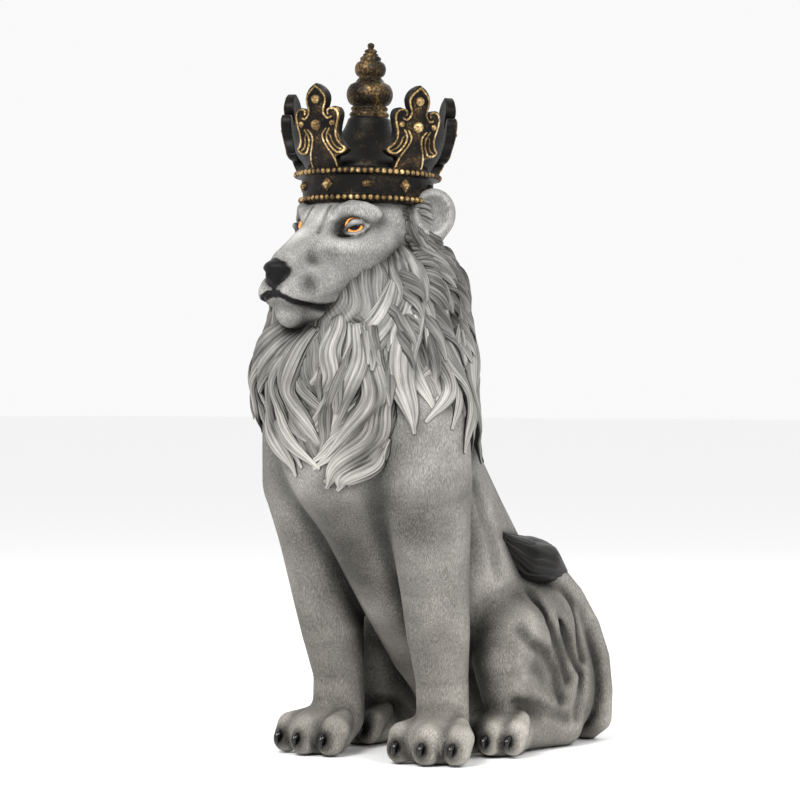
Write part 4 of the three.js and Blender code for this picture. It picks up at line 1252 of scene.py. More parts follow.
def ribbon(places, sizes, outward, seed, outer_points, flat=0.7, wide=1.36):
    """Points, faces, map, ridge height and share of the length of one lock."""
    chance = np.random.default_rng(seed)
    section = np.concatenate([
        np.linspace(-HALF_SPREAD, HALF_SPREAD, outer_points),
        np.linspace(HALF_SPREAD, 2 * math.pi - HALF_SPREAD, INNER_POINTS + 2)[1:-1],
    ])
    outer = np.arange(len(section)) < outer_points
    tangent = np.gradient(places, axis=0)
    tangent /= np.linalg.norm(tangent, axis=1, keepdims=True)
    side = np.cross(tangent, outward)
    side /= np.linalg.norm(side, axis=1, keepdims=True)
    above = np.cross(side, tangent)
    t = np.linspace(0, 1, len(places))
    roll = (0.34 * np.sin(2 * math.pi * (t + chance.uniform())) * np.sin(math.pi * t))[:, None]
    side, above = (
        side * np.cos(roll) + above * np.sin(roll),
        above * np.cos(roll) - side * np.sin(roll),
    )
    drift = chance.uniform(0.2, 0.5) * np.sin(2 * math.pi * (t + chance.uniform()))
    uneven = section + 0.1 * np.sin(3.0 * section + chance.uniform(0, 6))
    strands = max(4, round(outer_points / 3.6))
    hanks = chance.choice([2.2, 2.8, 3.4])

    def grooves(number, sharpness):
        place = number * 0.8 * uneven[None, :] + drift[:, None] + chance.uniform(0, 3)
        return np.where(outer, np.abs(np.cos(place)) ** sharpness, 0.5)

    fine = grooves(strands, 0.6)
    deep = grooves(hanks, 0.45)
    room = np.minimum(1, sizes / 9)[:, None]
    radius = sizes[:, None] - room * (0.8 * (1 - fine) + 1.3 * (1 - deep))
    reach = np.sign(np.cos(section)) * np.abs(np.cos(section)) ** 0.85
    points = (
        places[:, None, :]
        + side[:, None, :] * (radius * np.sin(section)[None, :] * wide)[:, :, None]
        + above[:, None, :] * (radius * reach[None, :] * flat)[:, :, None]
    )
    rows, columns = fine.shape
    travelled = np.concatenate([[0], np.cumsum(np.linalg.norm(np.diff(places, axis=0), axis=1))])
    root = places[0] - tangent[0] * sizes[0] * 0.5
    tip = places[-1] + tangent[-1] * sizes[-1]
    grid = np.arange(rows * columns).reshape(rows, columns)
    nxt = np.roll(grid, -1, axis=1)
    quads = np.stack([grid[:-1], nxt[:-1], nxt[1:], grid[1:]], axis=-1).reshape(-1, 4)
    ends = [(nxt[0, j], grid[0, j], rows * columns) for j in range(columns)]
    ends += [(grid[-1, j], nxt[-1, j], rows * columns + 1) for j in range(columns)]
    lies = np.sin(section / 2)[None, :] * 2 * sizes.max() * np.ones((rows, 1))
    across = np.append(lies.reshape(-1), [0, 0]) + 100 * chance.uniform()
    along = np.append(np.repeat(travelled, columns), [0, travelled[-1]])
    rim = np.where(outer, 1 - 0.6 * np.abs(section / HALF_SPREAD) ** 4, 0.3)
    height = (0.5 * fine + 0.5 * deep) * rim[None, :]
    return (
        np.vstack([points.reshape(-1, 3), root, tip]),
        quads,
        ends,
        np.column_stack([across, along]),
        np.append(height.reshape(-1), [0.3, 0.9]),
        np.append(np.repeat(t, columns), [0, 1]),
    )


# %% Many ribbons in one piece
def gathered(parts):
    """Several ribbons as one set of points, faces, map, heights and shares."""
    clouds, faces, maps, heights, shares, start = [], [], [], [], [], 0
    for cloud, quads, ends, lay, height, share in parts:
        clouds.append(cloud)
        faces += (quads + start).tolist() + [tuple(v + start for v in e) for e in ends]
        maps.append(lay)
        heights.append(height)
        shares.append(share)
        start += len(cloud)
    heights, shares = np.concatenate(heights), np.concatenate(shares)
    return np.vstack(clouds), faces, np.vstack(maps), heights, shares


def write_map(thing, lay):
    """Writes each point's place across and along its lock as the mesh's own map."""
    layer = thing.data.uv_layers.new(name="lay")
    corners = np.zeros(len(thing.data.loops), int)
    thing.data.loops.foreach_get("vertex_index", corners)
    layer.data.foreach_set("uv", lay[corners].astype(np.float32).reshape(-1))


def hair_piece(name, parts, low_tone, ridge_tone, tip_tone, hidden_shade_tone=0.7):
    """A piece of ribbons, with painted shade in its grooves, at its roots and where it is hidden, and pale
    on its ridges and tips.
    """
    points, faces, lay, height, share = gathered(parts)
    thing = mesh_object(name, (points + DRAWN_TO_FRAME) * MM, faces)
    write_map(thing, lay)
    hidden = (1 - openness(points, point_normals(thing))) ** 1.1
    tone = low_tone + ridge_tone * height + tip_tone * share**2 - hidden_shade_tone * hidden
    set_values(thing, "tone", tone)
    set_values(thing, "black", np.zeros(len(points)))
    finish_piece(thing, mane_hair, "lion")


trial_line = np.column_stack([np.zeros(9), np.zeros(9), np.linspace(80, 0, 9)])
trial = ribbon(trial_line, np.full(9, 8.0), np.tile((0.0, -1.0, 0.0), (9, 1)), 1, 21)
print("a ribbon 80 mm long has", len(trial[0]), "points; width", np.ptp(trial[0][:, 0]).round(1))

# %% [markdown]
# ## Undercoat
# Between the locks of a real mane there is more mane, never bare neck. More locks would fill it,
# at a great cost in triangles for what is hardly seen. So one tube of combed hair goes round the
# neck just proud of the body: hanks some 15 mm wide with strands of 4 mm on them, all swaying as
# they fall. Where the mane ends the tube dives under the skin.

# %% Undercoat round the neck
COAT_EDGE = [
    # bearing, height of the mane's lower edge
    (-180, 338), (-120, 338), (-75, 372), (-58, 356), (-34, 340), (-10, 318), (8, 306), (24, 322),
    (36, 362), (44, 404), (54, 408), (64, 376), (78, 356), (100, 336), (130, 332), (180, 338),
]
COAT_TOP, COAT_END = 548, 296
HANK_WIDTH, STRAND_WIDTH = 15, 3.9


def undercoat():
    """The tube's points, faces, map and how high each point stands in its hank."""
    columns, rows = ((560, 80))
    bearing = (360 * np.arange(columns) / columns - 180)[None, :] * np.ones((rows, 1))
    height = np.linspace(COAT_TOP, COAT_END, rows)[:, None] * np.ones((1, columns))
    dx, dy = np.sin(np.radians(bearing)), -np.cos(np.radians(bearing))
    reach = np.full(bearing.shape, 170.0)
    for _ in range(34):
        place = np.stack([NECK_AXIS[0] + dx * reach, NECK_AXIS[1] + dy * reach, height], axis=-1)
        d = body_field.at(place.reshape(-1, 3)).reshape(reach.shape)
        reach = reach - np.where(d > 0.1, np.minimum(d, 9) * 0.85, 0)
    fall = 7 * np.sin(height / 17 + 1.3 * np.sin(bearing / 23))
    fall = fall + 3.5 * np.sin(height / 9 + bearing / 11)
    lateral = np.radians(bearing) * 105 + fall
    hank = np.abs(np.cos(math.pi * lateral / HANK_WIDTH)) ** 0.6
    strand = np.abs(np.cos(math.pi * lateral / STRAND_WIDTH)) ** 0.7
    edge = np.interp(bearing, *np.array(COAT_EDGE).T) + 9 * (1 - hank)
    cover = soft_step(height, edge, edge + 16)
    reach = reach - 3.5 * (1 - cover) + cover * (0.4 + 1.6 * hank + 0.7 * strand)
    x, y = NECK_AXIS[0] + dx * reach, NECK_AXIS[1] + dy * reach
    points = np.stack([x, y, height], axis=-1).reshape(-1, 3)
    points = np.vstack([points, (*NECK_AXIS, COAT_TOP), (*NECK_AXIS, COAT_END)])
    grid = np.arange(rows * columns).reshape(rows, columns)
    nxt = np.roll(grid, -1, axis=1)
    faces = np.stack([grid[:-1], grid[1:], nxt[1:], nxt[:-1]], axis=-1).reshape(-1, 4).tolist()
    faces += [(grid[0, j], nxt[0, j], len(points) - 2) for j in range(columns)]
    faces += [(nxt[-1, j], grid[-1, j], len(points) - 1) for j in range(columns)]
    lay = np.vstack([np.column_stack([lateral.reshape(-1), -height.reshape(-1)]), np.zeros((2, 2))])
    high = np.append((0.5 * hank + 0.5 * strand).reshape(-1), [0, 0])
    return points, faces, lay, high


points, faces, lay, high = undercoat()
coat = mesh_object("mane_undercoat", (points + DRAWN_TO_FRAME) * MM, faces)
write_map(coat, lay)
hidden = (1 - openness(points, point_normals(coat))) ** 1.1
# Painted shade: the whole tube is painted dark, as it lies in the shade of the locks, deeper where it is
# hidden, and paler on its hanks and strands
set_values(coat, "tone", 0.2 + 0.34 * high - 0.5 * hidden)
set_values(coat, "black", np.zeros(len(points)))
finish_piece(coat, mane_hair, "lion")

# %% [markdown]
# ## Locks
# A carver splits each heavy lock of the solid into narrower ones: one proud in the middle and one
# on each side that parts from it before the tip. Each waves a little on its own and hooks at the
# end. Together they fill the solid's lock. Drawing every ribbon by hand would be as good and far
# longer, so one function splits any lock, with a fixed seed for its small differences.

# %% Splitting a lock
MIDDLE_AND_SIDES = ((-0.6, 0.56, -0.1, 0.2), (0.62, 0.54, -0.05, 0.13), (0, 0.7, -0.34, 0.0))
TWO_HALVES = ((-0.42, 0.66, -0.1, 0.1), (0.4, 0.68, -0.28, 0.0))


def split_lock(row, seed, portions, rings, outer_points, flat):
    """Ribbons for one heavy lock. A portion is its place across in shares of the radius, its
    own radius in such shares, how far it is sunk, and how much shorter it is."""
    (root, tip, bow, sway, radius), parts = row, []
    chance = np.random.default_rng(seed)
    hook = chance.choice([-1, 1]) * chance.uniform(3.0, 6.5)
    wave, phase = chance.uniform(2.4, 4.2), chance.uniform(0, 6.3)
    for across, thick, sunk, shorter in portions:
        shift = math.degrees(across * radius / 108)
        start = (root[0] + 0.6 * shift, root[1] + chance.uniform(-3, 8))
        raised = shorter * (root[1] - tip[1]) * chance.uniform(0.6, 1.6)
        end = (tip[0] + 1.2 * shift, tip[1] + raised)
        places, sizes = lock_path(
            start, end, bow, sway, thick * radius, rings, sunk,
            wave=wave, phase=phase + chance.uniform(-0.5, 0.5), hook=hook + 0.5 * shift,
        )
        sizes = sizes * (1 - 0.5 * np.linspace(0, 1, rings) ** 8)
        outward = body_field.outward(places, 3.0)
        own_seed = seed * 10 + len(parts)
        parts.append(ribbon(places, sizes, outward, own_seed, outer_points, flat, 1.55))
    return parts


trial = split_lock(BREAST_LOCKS[0], 1, MIDDLE_AND_SIDES, 12, 15, 0.74)
print("one lock is split into", len(trial), "ribbons")


# %% Locks of the mane
# rings along a ribbon, and points across its outer side
FRONT_DETAIL = ((28, 37))
BACK_DETAIL = ((22, 29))
LOCK_FLATNESS = 0.74
front, back = [], []
for i, row in enumerate(front_locks()):
    front += split_lock(row, 60 + i, MIDDLE_AND_SIDES, *FRONT_DETAIL, LOCK_FLATNESS)
for i, row in enumerate(back_locks()):
    back += split_lock(row, 100 + i, TWO_HALVES, *BACK_DETAIL, LOCK_FLATNESS)
hair_piece("mane_locks", front, 0.14, 0.5, 0.18)
hair_piece("mane_locks_behind", back, 0.08, 0.5, 0.14)

# %% [markdown]
# ## Hair of the cheeks and ears
# From the cheek the short coat turns into mane: rows of small combed tufts run back under the ear
# and down behind the jaw, painted dark at the root as shade, and brushed pale at the tip. Geometry
# Nodes could scatter them over the head, but these have to lie on the head, the mane and each
# other at once, so each is walked along, step by step, on the field of the whole figure.

# %% Tufts on the cheeks
CHEEK_LINE = [
    # forward, left and up of the first row's roots, then the way they fall, in degrees below
    # backwards
    (14, 54, -2, 32), (10, 58, -16, 24), (8, 61, -37, 22), (20, 65, -60, 26), (31, 62, -80, 32),
    (41, 50, -102, 42), (49, 38, -118, 56), (50, 14, -130, 76),
]
CHEEK_ROWS, CHEEK_TUFTS = 4, 13


def laid_lines(starts, first_ways, last_ways, lengths, sides, rings, lift):
    """Lines of the head's frame that follow the surface, each turning from one way to another."""
    place = np.array([head_place(f, s * l, u) for (f, l, u), s in zip(starts, sides)])
    place = whole.settled(place, lift[0], rounds=6)
    first_ways, last_ways, lengths = [
        np.array(v)[:, None] for v in (first_ways, last_ways, lengths)
    ]
    ahead = np.array(head_place(1, 0, 0)) - SEAT_AT
    lines = [place]
    for i in range(1, rings):
        t = i / (rings - 1)
        way = np.radians(first_ways + (last_ways - first_ways) * t)
        step = -np.cos(way) * ahead - np.sin(way) * np.array([0, 0, 1.0])
        normal = whole.outward(place, 3.0)
        step = step - normal * (step * normal).sum(axis=1, keepdims=True)
        step *= lengths / (rings - 1) / np.linalg.norm(step, axis=1, keepdims=True)
        place = whole.settled(place + step, lift[0] + (lift[1] - lift[0]) * t, rounds=2)
        lines.append(place)
    return np.stack(lines, axis=1)


def cheek_tufts():
    """Ribbons for rows of tufts on both cheeks, the row furthest back first."""
    chance = np.random.default_rng(11)
    rings = 18
    knots = np.linspace(0, 1, len(CHEEK_LINE))
    starts, first_ways, last_ways, lengths, sides = [], [], [], [], []
    for side in (1, -1):
        for row in reversed(range(CHEEK_ROWS)):
            for i in range(CHEEK_TUFTS):
                s = (i + 0.5 * (row % 2) + chance.uniform(-0.2, 0.2)) / (CHEEK_TUFTS - 0.5)
                ahead, out, up, way = [np.interp(s, knots, c) for c in np.array(CHEEK_LINE).T]
                back = 15 * row + 5 + chance.uniform(-3, 3)
                fall = math.radians(way)
                starts.append((ahead - back * math.cos(fall), out + 6, up - back * math.sin(fall)))
                first_ways.append(way - 12)
                last_ways.append(way + chance.uniform(26, 50))
                lengths.append(chance.uniform(56, 84))
                sides.append(side)
    lines = laid_lines(starts, first_ways, last_ways, lengths, sides, rings, (-2.6, 1.8))
    t = np.linspace(0, 1, rings)
    parts = []
    across = 31
    for line in lines:
        swell = np.sin(np.pi * (0.2 + 0.72 * t)) ** 0.7 * (1 - 0.45 * t**4)
        sizes = chance.uniform(6.2, 8.6) * swell
        outward = whole.outward(line, 4.0)
        parts.append(ribbon(line, sizes, outward, 400 + len(parts), across, 0.5, 1.3))
    return parts


hair_piece("cheek_hair", cheek_tufts(), -0.04, 0.46, 0.3, 0.3)


# %% Tufts in the ears
def head_way(forward, left, up):
    """A direction of the head's frame in the drawing's."""
    return np.array(head_place(forward, left, up)) - SEAT_AT


def ear_tufts():
    """Nine thin tufts in the cup of each ear, leaning out and hanging down at their tips."""
    chance = np.random.default_rng(5)
    parts = []
    t = np.linspace(0, 1, 12)[:, None]
    for side in (1, -1):
        for i in range(9):
            height = 2 - 3.2 * i + chance.uniform(-2, 2)
            base = np.array(head_place(-2 - 2.0 * i, side * (65 + 0.6 * i), height))
            lean = head_way(-9 - chance.uniform(0, 5), side * 7, 8 - 1.8 * i)
            line = base + lean * t + head_way(-3, side * 3, -9) * t**2
            sizes = 2.3 * np.sin(np.pi * (0.2 + 0.75 * t[:, 0])) ** 0.8
            outward = np.tile(head_way(1, side * 0.6, 0.3), (12, 1))
            parts.append(ribbon(line, sizes, outward, 700 + len(parts), 13, 0.7, 1.2))
    return parts


hair_piece("ear_hair", ear_tufts(), 0.24, 0.26, 0.2, 0.4)

# %% [markdown]
# ## The crown's metal paint
# Black-brown paint with gold rubbed over it. The gold stays on whatever stands proud: beads,
# studs, rims and the raised lines of the fleurs. Two materials with a hard border would look like
# a print, so it is one: a number at each point says how proud it stands, two noises break up the
# edge, and their sum chooses the colour and how much metal shows.

# %% Bronze paint
# Bronze powder in varnish, rubbed on with a sponge over black resin: it gives the eye dark pits,
# brown slopes and small bright crests, in specks and not in stripes.
SPECKS_TO_THE_METRE = 420.0  # the sponge's pores, 1 mm, are drawn at 2.4 mm, so that they show
CLOUDS_TO_THE_METRE = 60.0  # the hand pressed harder in places some 17 mm apart
bronze, tree, shader = new_material("antique bronze paint")
place = node_in(tree, "ShaderNodeTexCoord")
specks = node_in(
    tree, "ShaderNodeTexNoise",
    Vector=place.outputs["Object"], Scale=SPECKS_TO_THE_METRE, Detail=6.0, Roughness=0.7,
)
clouds = node_in(
    tree, "ShaderNodeTexNoise",
    Vector=place.outputs["Object"], Scale=CLOUDS_TO_THE_METRE, Detail=4.0,
)
worn = node_in(tree, "ShaderNodeAttribute", attribute_name="worn")
speck_part = node_in(
    tree, "ShaderNodeMath", operation="MULTIPLY_ADD", i0=specks.outputs["Fac"], i1=1.3, i2=-0.65
)
cloud_part = node_in(
    tree, "ShaderNodeMath", operation="MULTIPLY_ADD", i0=clouds.outputs["Fac"], i1=1.1, i2=-0.55
)
both = node_in(
    tree, "ShaderNodeMath", operation="ADD", i0=speck_part.outputs[0], i1=cloud_part.outputs[0]
)
total = node_in(
    tree, "ShaderNodeMath", operation="ADD", i0=both.outputs[0], i1=worn.outputs["Fac"]
)
ramp = node_in(tree, "ShaderNodeValToRGB", i0=total.outputs[0])
stops = ramp.color_ramp.elements
stops[0].position, stops[0].color = 0.16, screen_colour("060504")
stops[1].position, stops[1].color = 1.0, screen_colour("e6d0a4")
for position, colour in ((0.32, "15110b"), (0.5, "35291a"), (0.7, "77603c"), (0.86, "ac9061")):
    stops.new(position).color = screen_colour(colour)
tree.links.new(ramp.outputs["Color"], shader.inputs["Base Color"])
metal = node_in(
    tree, "ShaderNodeMapRange", i0=total.outputs[0], i1=0.4, i2=0.85, i3=0.0, i4=0.7
)
tree.links.new(metal.outputs[0], shader.inputs["Metallic"])
shader.inputs["Specular IOR Level"].default_value = 0.12
rough = node_in(
    tree, "ShaderNodeMapRange", i0=specks.outputs["Fac"], i1=0.3, i2=0.7, i3=0.3, i4=0.52
)
tree.links.new(rough.outputs[0], shader.inputs["Roughness"])
relief = node_in(
    tree, "ShaderNodeBump", Strength=0.4, Distance=0.0006, Height=specks.outputs["Fac"]
)
tree.links.new(relief.outputs["Normal"], shader.inputs["Normal"])
print("crown painted with", bronze.name)

# %% [markdown]
# ## The crown
# The band, the bell cap and the finial are turned shapes, as if from a lathe. Blender's Screw
# modifier can turn a profile; here the rings are made outright, because the profile then closes
# on the axis at both ends with a proper pole. The crown is drawn standing at the origin, rim down
# and front towards the viewer, and then set on the head with the head's turn and its own tilt.

# %% Placing the crown
CROWN_TILT, CROWN_TURN = 2.0, 7.0
BAND_HEIGHT = 36.0
crown_axes = turned((0, 0, -HEAD_YAW)) @ turned((-CROWN_TILT, 0, 0)) @ turned((0, 0, CROWN_TURN))
print("crown tilted back", CROWN_TILT, "and turned", CROWN_TURN, "degrees")


def on_head(points):
    """Points of the crown's frame, in mm, in the frame of the part, in metres."""
    return (np.asarray(points) @ crown_axes.T + SEAT_AT + DRAWN_TO_FRAME) * MM


def turned_on_lathe(name, profile, segments):
    """A closed turned piece from (radius, height) pairs, ending on the axis at both ends."""
    profile = np.array(profile, float)
    angles = 2 * np.pi * np.arange(segments) / segments
    inner = profile[1:-1]
    ring = np.stack([
        inner[:, 0][:, None] * np.sin(angles),
        -inner[:, 0][:, None] * np.cos(angles),
        inner[:, 1][:, None] * np.ones(segments),
    ], axis=-1).reshape(-1, 3)
    points = np.vstack([ring, (0, 0, profile[0, 1]), (0, 0, profile[-1, 1])])
    grid = np.arange(len(ring)).reshape(len(inner), segments)
    nxt = np.roll(grid, -1, axis=1)
    faces = np.stack([grid[:-1], nxt[:-1], nxt[1:], grid[1:]], axis=-1).reshape(-1, 4).tolist()
    faces += [(nxt[0, j], grid[0, j], len(ring)) for j in range(segments)]
    faces += [(grid[-1, j], nxt[-1, j], len(ring) + 1) for j in range(segments)]
    return mesh_object(name, on_head(points), faces)


# %% Band
def half_round(radius, height, size, count=7):
    """A half-round moulding of a profile, bulging outwards."""
    angles = np.radians(np.linspace(-85, 85, count))
    return [(radius + size * math.cos(a), height + size * math.sin(a)) for a in angles]


band_profile = [
    (0, 12.3), (55.5, 12.3), (55.5, 0), (66.4, 0), (67, 0.6), (67.8, 1.4),
    *half_round(68.2, 5, 2.9), (67.4, 9.2), (67.8, 10), (69.6, 27.4), (70, 28),
    *half_round(73.8, 32, 2.9), (70.5, 36), (0, 36),
]
crown_band = turned_on_lathe("crown_band", band_profile, 128)
set_values(crown_band, "worn", np.full(len(crown_band.data.vertices), 0.22))
finish_piece(crown_band, bronze, "crown")

# %% Bell cap and finial
def swollen(radius, bottom, top, neck_radius, steps):
    """A bulb's profile between two necks."""
    turn = np.linspace(0, math.pi, steps + 1)
    width = neck_radius + (radius - neck_radius) * np.sqrt(np.sin(turn).clip(0))
    return list(zip(width, np.linspace(bottom, top, steps + 1)))


cap_profile = [
    (0, 34), (64, 34), (63.4, 39), (62, 43), (56, 47), (50, 52), (44, 57.5), (38, 64), (33.5, 70),
    (30, 76), (27, 81), (25, 85), (23.4, 89), (22.5, 92), (21.6, 93.4), (20, 94.2), (19.8, 95.2),
    (20.8, 96.6), (21, 98), (20.2, 99.6), (18.7, 100.5), (18.6, 102), (19.6, 103.4), (19.4, 105),
    (17.6, 106.4),
]
cap_profile += swollen(24.5, 107, 131, 17, 14) + [(15.2, 132), (14.2, 134), (12.4, 136)]
cap_profile += swollen(16.5, 137.5, 154, 11.5, 11) + [
    (10.6, 155), (11.1, 156.4), (10.9, 158), (9, 159.4), (8, 160.4), (8.2, 161.4), (7, 162.4),
    (5.6, 163), (6.6, 164), (6.9, 165), (5.6, 166.4), (3.2, 167.4), (2.8, 168.2), (3.6, 169.6), (3.8, 171),
    (3.2, 172.6), (1.6, 173.7), (0, 174),
]
CAP_SEGMENTS = 96
cap = turned_on_lathe("crown_cap_and_finial", cap_profile, CAP_SEGMENTS)
heights = np.repeat([p[1] for p in cap_profile[1:-1]], CAP_SEGMENTS)
# The bell stays dark; the finial above it, from 95 mm up, is rubbed with gold
set_values(cap, "worn", np.append(np.where(heights > 95, 0.44, 0.16), [0.2, 0.6]))
finish_piece(cap, bronze, "crown")

# %% [markdown]
# ## Beads by Geometry Nodes
# Two rows of beads sit on the band's mouldings, and ten studs stand between them. What repeats
# round a ring is one small tree: a circle with as many points as there are beads, an instance of
# the bead at each, made real at the end, because an exported model keeps no instances.


# %% Tree of a bead row
def bead_row_tree():
    """A tree with inputs for the number of beads, the ring and the bead."""
    tree = bpy.data.node_groups.new("beads round a ring", "GeometryNodeTree")
    tree.interface.new_socket("Geometry", in_out="OUTPUT", socket_type="NodeSocketGeometry")
    for name, kind in (
        ("Count", "NodeSocketInt"),
        ("Ring radius", "NodeSocketFloat"),
        ("Ring height", "NodeSocketFloat"),
        ("Bead radius", "NodeSocketFloat"),
        ("Paint", "NodeSocketMaterial"),
    ):
        tree.interface.new_socket(name, in_out="INPUT", socket_type=kind)
    entry = tree.nodes.new("NodeGroupInput")
    circle = node_in(
        tree, "GeometryNodeMeshCircle",
        Vertices=entry.outputs["Count"], Radius=entry.outputs["Ring radius"],
    )
    lift = node_in(tree, "ShaderNodeCombineXYZ", Z=entry.outputs["Ring height"])
    raised = node_in(
        tree, "GeometryNodeTransform",
        Geometry=circle.outputs["Mesh"], Translation=lift.outputs["Vector"],
    )
    bead = node_in(
        tree, "GeometryNodeMeshUVSphere",
        Segments=10, Rings=6, Radius=entry.outputs["Bead radius"],
    )
    placed = node_in(
        tree, "GeometryNodeInstanceOnPoints",
        Points=raised.outputs["Geometry"], Instance=bead.outputs["Mesh"],
    )
    made = node_in(tree, "GeometryNodeRealizeInstances", Geometry=placed.outputs["Instances"])
    smooth = node_in(tree, "GeometryNodeSetShadeSmooth", Geometry=made.outputs["Geometry"])
    coated = node_in(
        tree, "GeometryNodeSetMaterial",
        Geometry=smooth.outputs["Geometry"], Material=entry.outputs["Paint"],
    )
    leave = tree.nodes.new("NodeGroupOutput")
    tree.links.new(coated.outputs["Geometry"], leave.inputs["Geometry"])
    return tree


def grown(name, tree, values):
    """Runs a tree on an empty mesh and returns the result as a plain object."""
    seed = bpy.data.objects.new(name + "_seed", bpy.data.meshes.new(name + "_seed"))
    bpy.context.scene.collection.objects.link(seed)
    modifier = seed.modifiers.new("grow", "NODES")
    modifier.node_group = tree
    sockets = {s.name: s.identifier for s in tree.interface.items_tree if s.in_out == "INPUT"}
    for key, value in values.items():
        modifier[sockets[key]] = value
    seed.update_tag()
    evaluated = seed.evaluated_get(bpy.context.evaluated_depsgraph_get())
    mesh = bpy.data.meshes.new_from_object(evaluated)
    mesh.name = name
    bpy.data.objects.remove(seed)
    thing = bpy.data.objects.new(name, mesh)
    bpy.context.scene.collection.objects.link(thing)
    return thing


def moved_onto_head(thing):
    """Moves a mesh drawn in the crown's frame, in metres, onto the head."""
    points = np.zeros(len(thing.data.vertices) * 3)
    thing.data.vertices.foreach_get("co", points)
    thing.data.vertices.foreach_set("co", on_head(points.reshape(-1, 3) / MM).reshape(-1))
    thing.data.update()


# %% Rows of beads
BEAD_RADIUS = 2.95
BEAD_ROWS = (
    # name, radius and height of the ring, number of beads
    ("lower_beads", 69.9, 5.0, 65),
    ("upper_beads", 75.4, 32.0, 72),
)
bead_tree = bead_row_tree()
for name, ring, height, count in BEAD_ROWS:
    beads = grown(name, bead_tree, {
        "Count": count, "Ring radius": ring * MM, "Ring height": height * MM,
        "Bead radius": BEAD_RADIUS * MM, "Paint": bronze,
    })
    local = np.zeros(len(beads.data.vertices) * 3)
    beads.data.vertices.foreach_get("co", local)
    local = local.reshape(-1, 3) / MM
    out = np.hypot(local[:, 0], local[:, 1]) - ring
    moved_onto_head(beads)
    set_values(beads, "worn", 0.42 + 0.34 * np.clip(out / 2.8, -1, 1))
    beads.data.materials.clear()
    finish_piece(beads, bronze, "crown")

# %% [markdown]
# ## Studs and fleurs
# A pyramid stud stands under each of the five fleurs and a domed one between them. They could be
# cones and balls from Blender's menu, set one by one; as two small functions they sit on the band
# whatever its radius. A fleur is modelled flat in clay, with its raised double outline, scrolls
# and beads, and then bent round the crown and flared.

# %% Studs
STUD_COUNT = 10
BAND_RADIUS, STUD_HEIGHT = 68.5, 18.5
UP = np.array([0.0, 0.0, 1.0])


def pyramid_stud(centre, outward, across):
    """Points, faces and wear of a four-sided stud that stands on one corner."""
    corners = [(7.8, 0), (0, 7.8), (-7.8, 0), (0, -7.8)]
    foot = [centre - outward * 2 + across * a + UP * b for a, b in corners]
    rim = [centre + outward + across * a * 0.98 + UP * b * 0.98 for a, b in corners]
    faces = []
    for j in range(4):
        k = (j + 1) % 4
        faces += [(j, k, 4 + k, 4 + j), (4 + j, 4 + k, 8), (k, j, 9)]
    points = foot + rim + [centre + outward * 6.4, centre - outward * 2]
    return points, faces, [0.2] * 4 + [0.55] * 4 + [0.8, 0.2]


def domed_stud(centre, outward, across):
    """Points, faces and wear of a round stud."""
    rings, segments = 8, 20
    points, faces, worn = [], [], []
    for p in range(rings):
        polar = math.pi / 2 * (1 - p / rings)
        for q in range(segments):
            turn = 2 * math.pi * q / segments
            aside = across * math.cos(turn) + UP * math.sin(turn)
            out = outward * (5.4 * math.cos(polar) - 0.6)
            points.append(centre + out + 5.0 * math.sin(polar) * aside)
            worn.append(0.3 + 0.3 * p / rings)
    points += [centre + outward * 4.8, centre - outward * 2]
    top, tip = (rings - 1) * segments, rings * segments
    for q in range(segments):
        r = (q + 1) % segments
        for a in range(0, top, segments):
            b = a + segments
            faces.append((a + q, a + r, b + r, b + q))
        faces += [(top + q, top + r, tip), (r, q, tip + 1)]
    return points, faces, worn + [0.6, 0.2]


def stud_set():
    """All studs round the band, pyramids and domes in turn."""
    clouds, faces, worn = [], [], []
    for i in range(STUD_COUNT):
        angle = 2 * math.pi * i / STUD_COUNT
        outward = np.array([math.sin(angle), -math.cos(angle), 0])
        across = np.array([math.cos(angle), math.sin(angle), 0])
        centre = outward * BAND_RADIUS + UP * STUD_HEIGHT
        stud = domed_stud if i % 2 else pyramid_stud
        points, own_faces, own_worn = stud(centre, outward, across)
        faces += [tuple(len(clouds) + v for v in face) for face in own_faces]
        worn += own_worn
        clouds += points
    return np.array(clouds), faces, worn


points, faces, worn = stud_set()
studs = mesh_object("crown_studs", on_head(points), faces, smooth=False)
set_values(studs, "worn", worn)
finish_piece(studs, bronze, "crown")

# %% Outline of a fleur
FLEUR_HEIGHT, FLEUR_HALF_WIDTH = 85.0, 33.5
FLEUR_FLARE, FLARE_HEIGHT, FLEUR_LEAN = 13.0, 45.0, 6.0
FLEUR_ROOT_RADIUS, FLEUR_BEND_RADIUS = 68.5, 160.0
FLEUR_OUTLINE = [
    (0.53, -0.04), (0.5, 0.04), (0.46, 0.12), (0.76, 0.14), (1, 0.2), (0.86, 0.25), (0.73, 0.38),
    (0.82, 0.52), (0.89, 0.62), (0.81, 0.7), (0.6, 0.72), (0.45, 0.66), (0.4, 0.58), (0.3, 0.61),
    (0.29, 0.68), (0.41, 0.79), (0.39, 0.87), (0.24, 0.95), (0, 1),
]


def rounded_line(points, rounds=2):
    """Corners of an open line cut off, twice over, so that it curves."""
    points = np.array(points, float)
    for _ in range(rounds):
        a, b = points[:-1], points[1:]
        middle = np.stack([0.75 * a + 0.25 * b, 0.25 * a + 0.75 * b], axis=1).reshape(-1, 2)
        points = np.vstack([points[:1], middle, points[-1:]])
    return points


half = rounded_line([(w * FLEUR_HALF_WIDTH, h * FLEUR_HEIGHT) for w, h in FLEUR_OUTLINE])
outline = np.vstack([half, half[-2::-1] * (-1, 1)])
print("a fleur's outline has", len(outline), "corners")


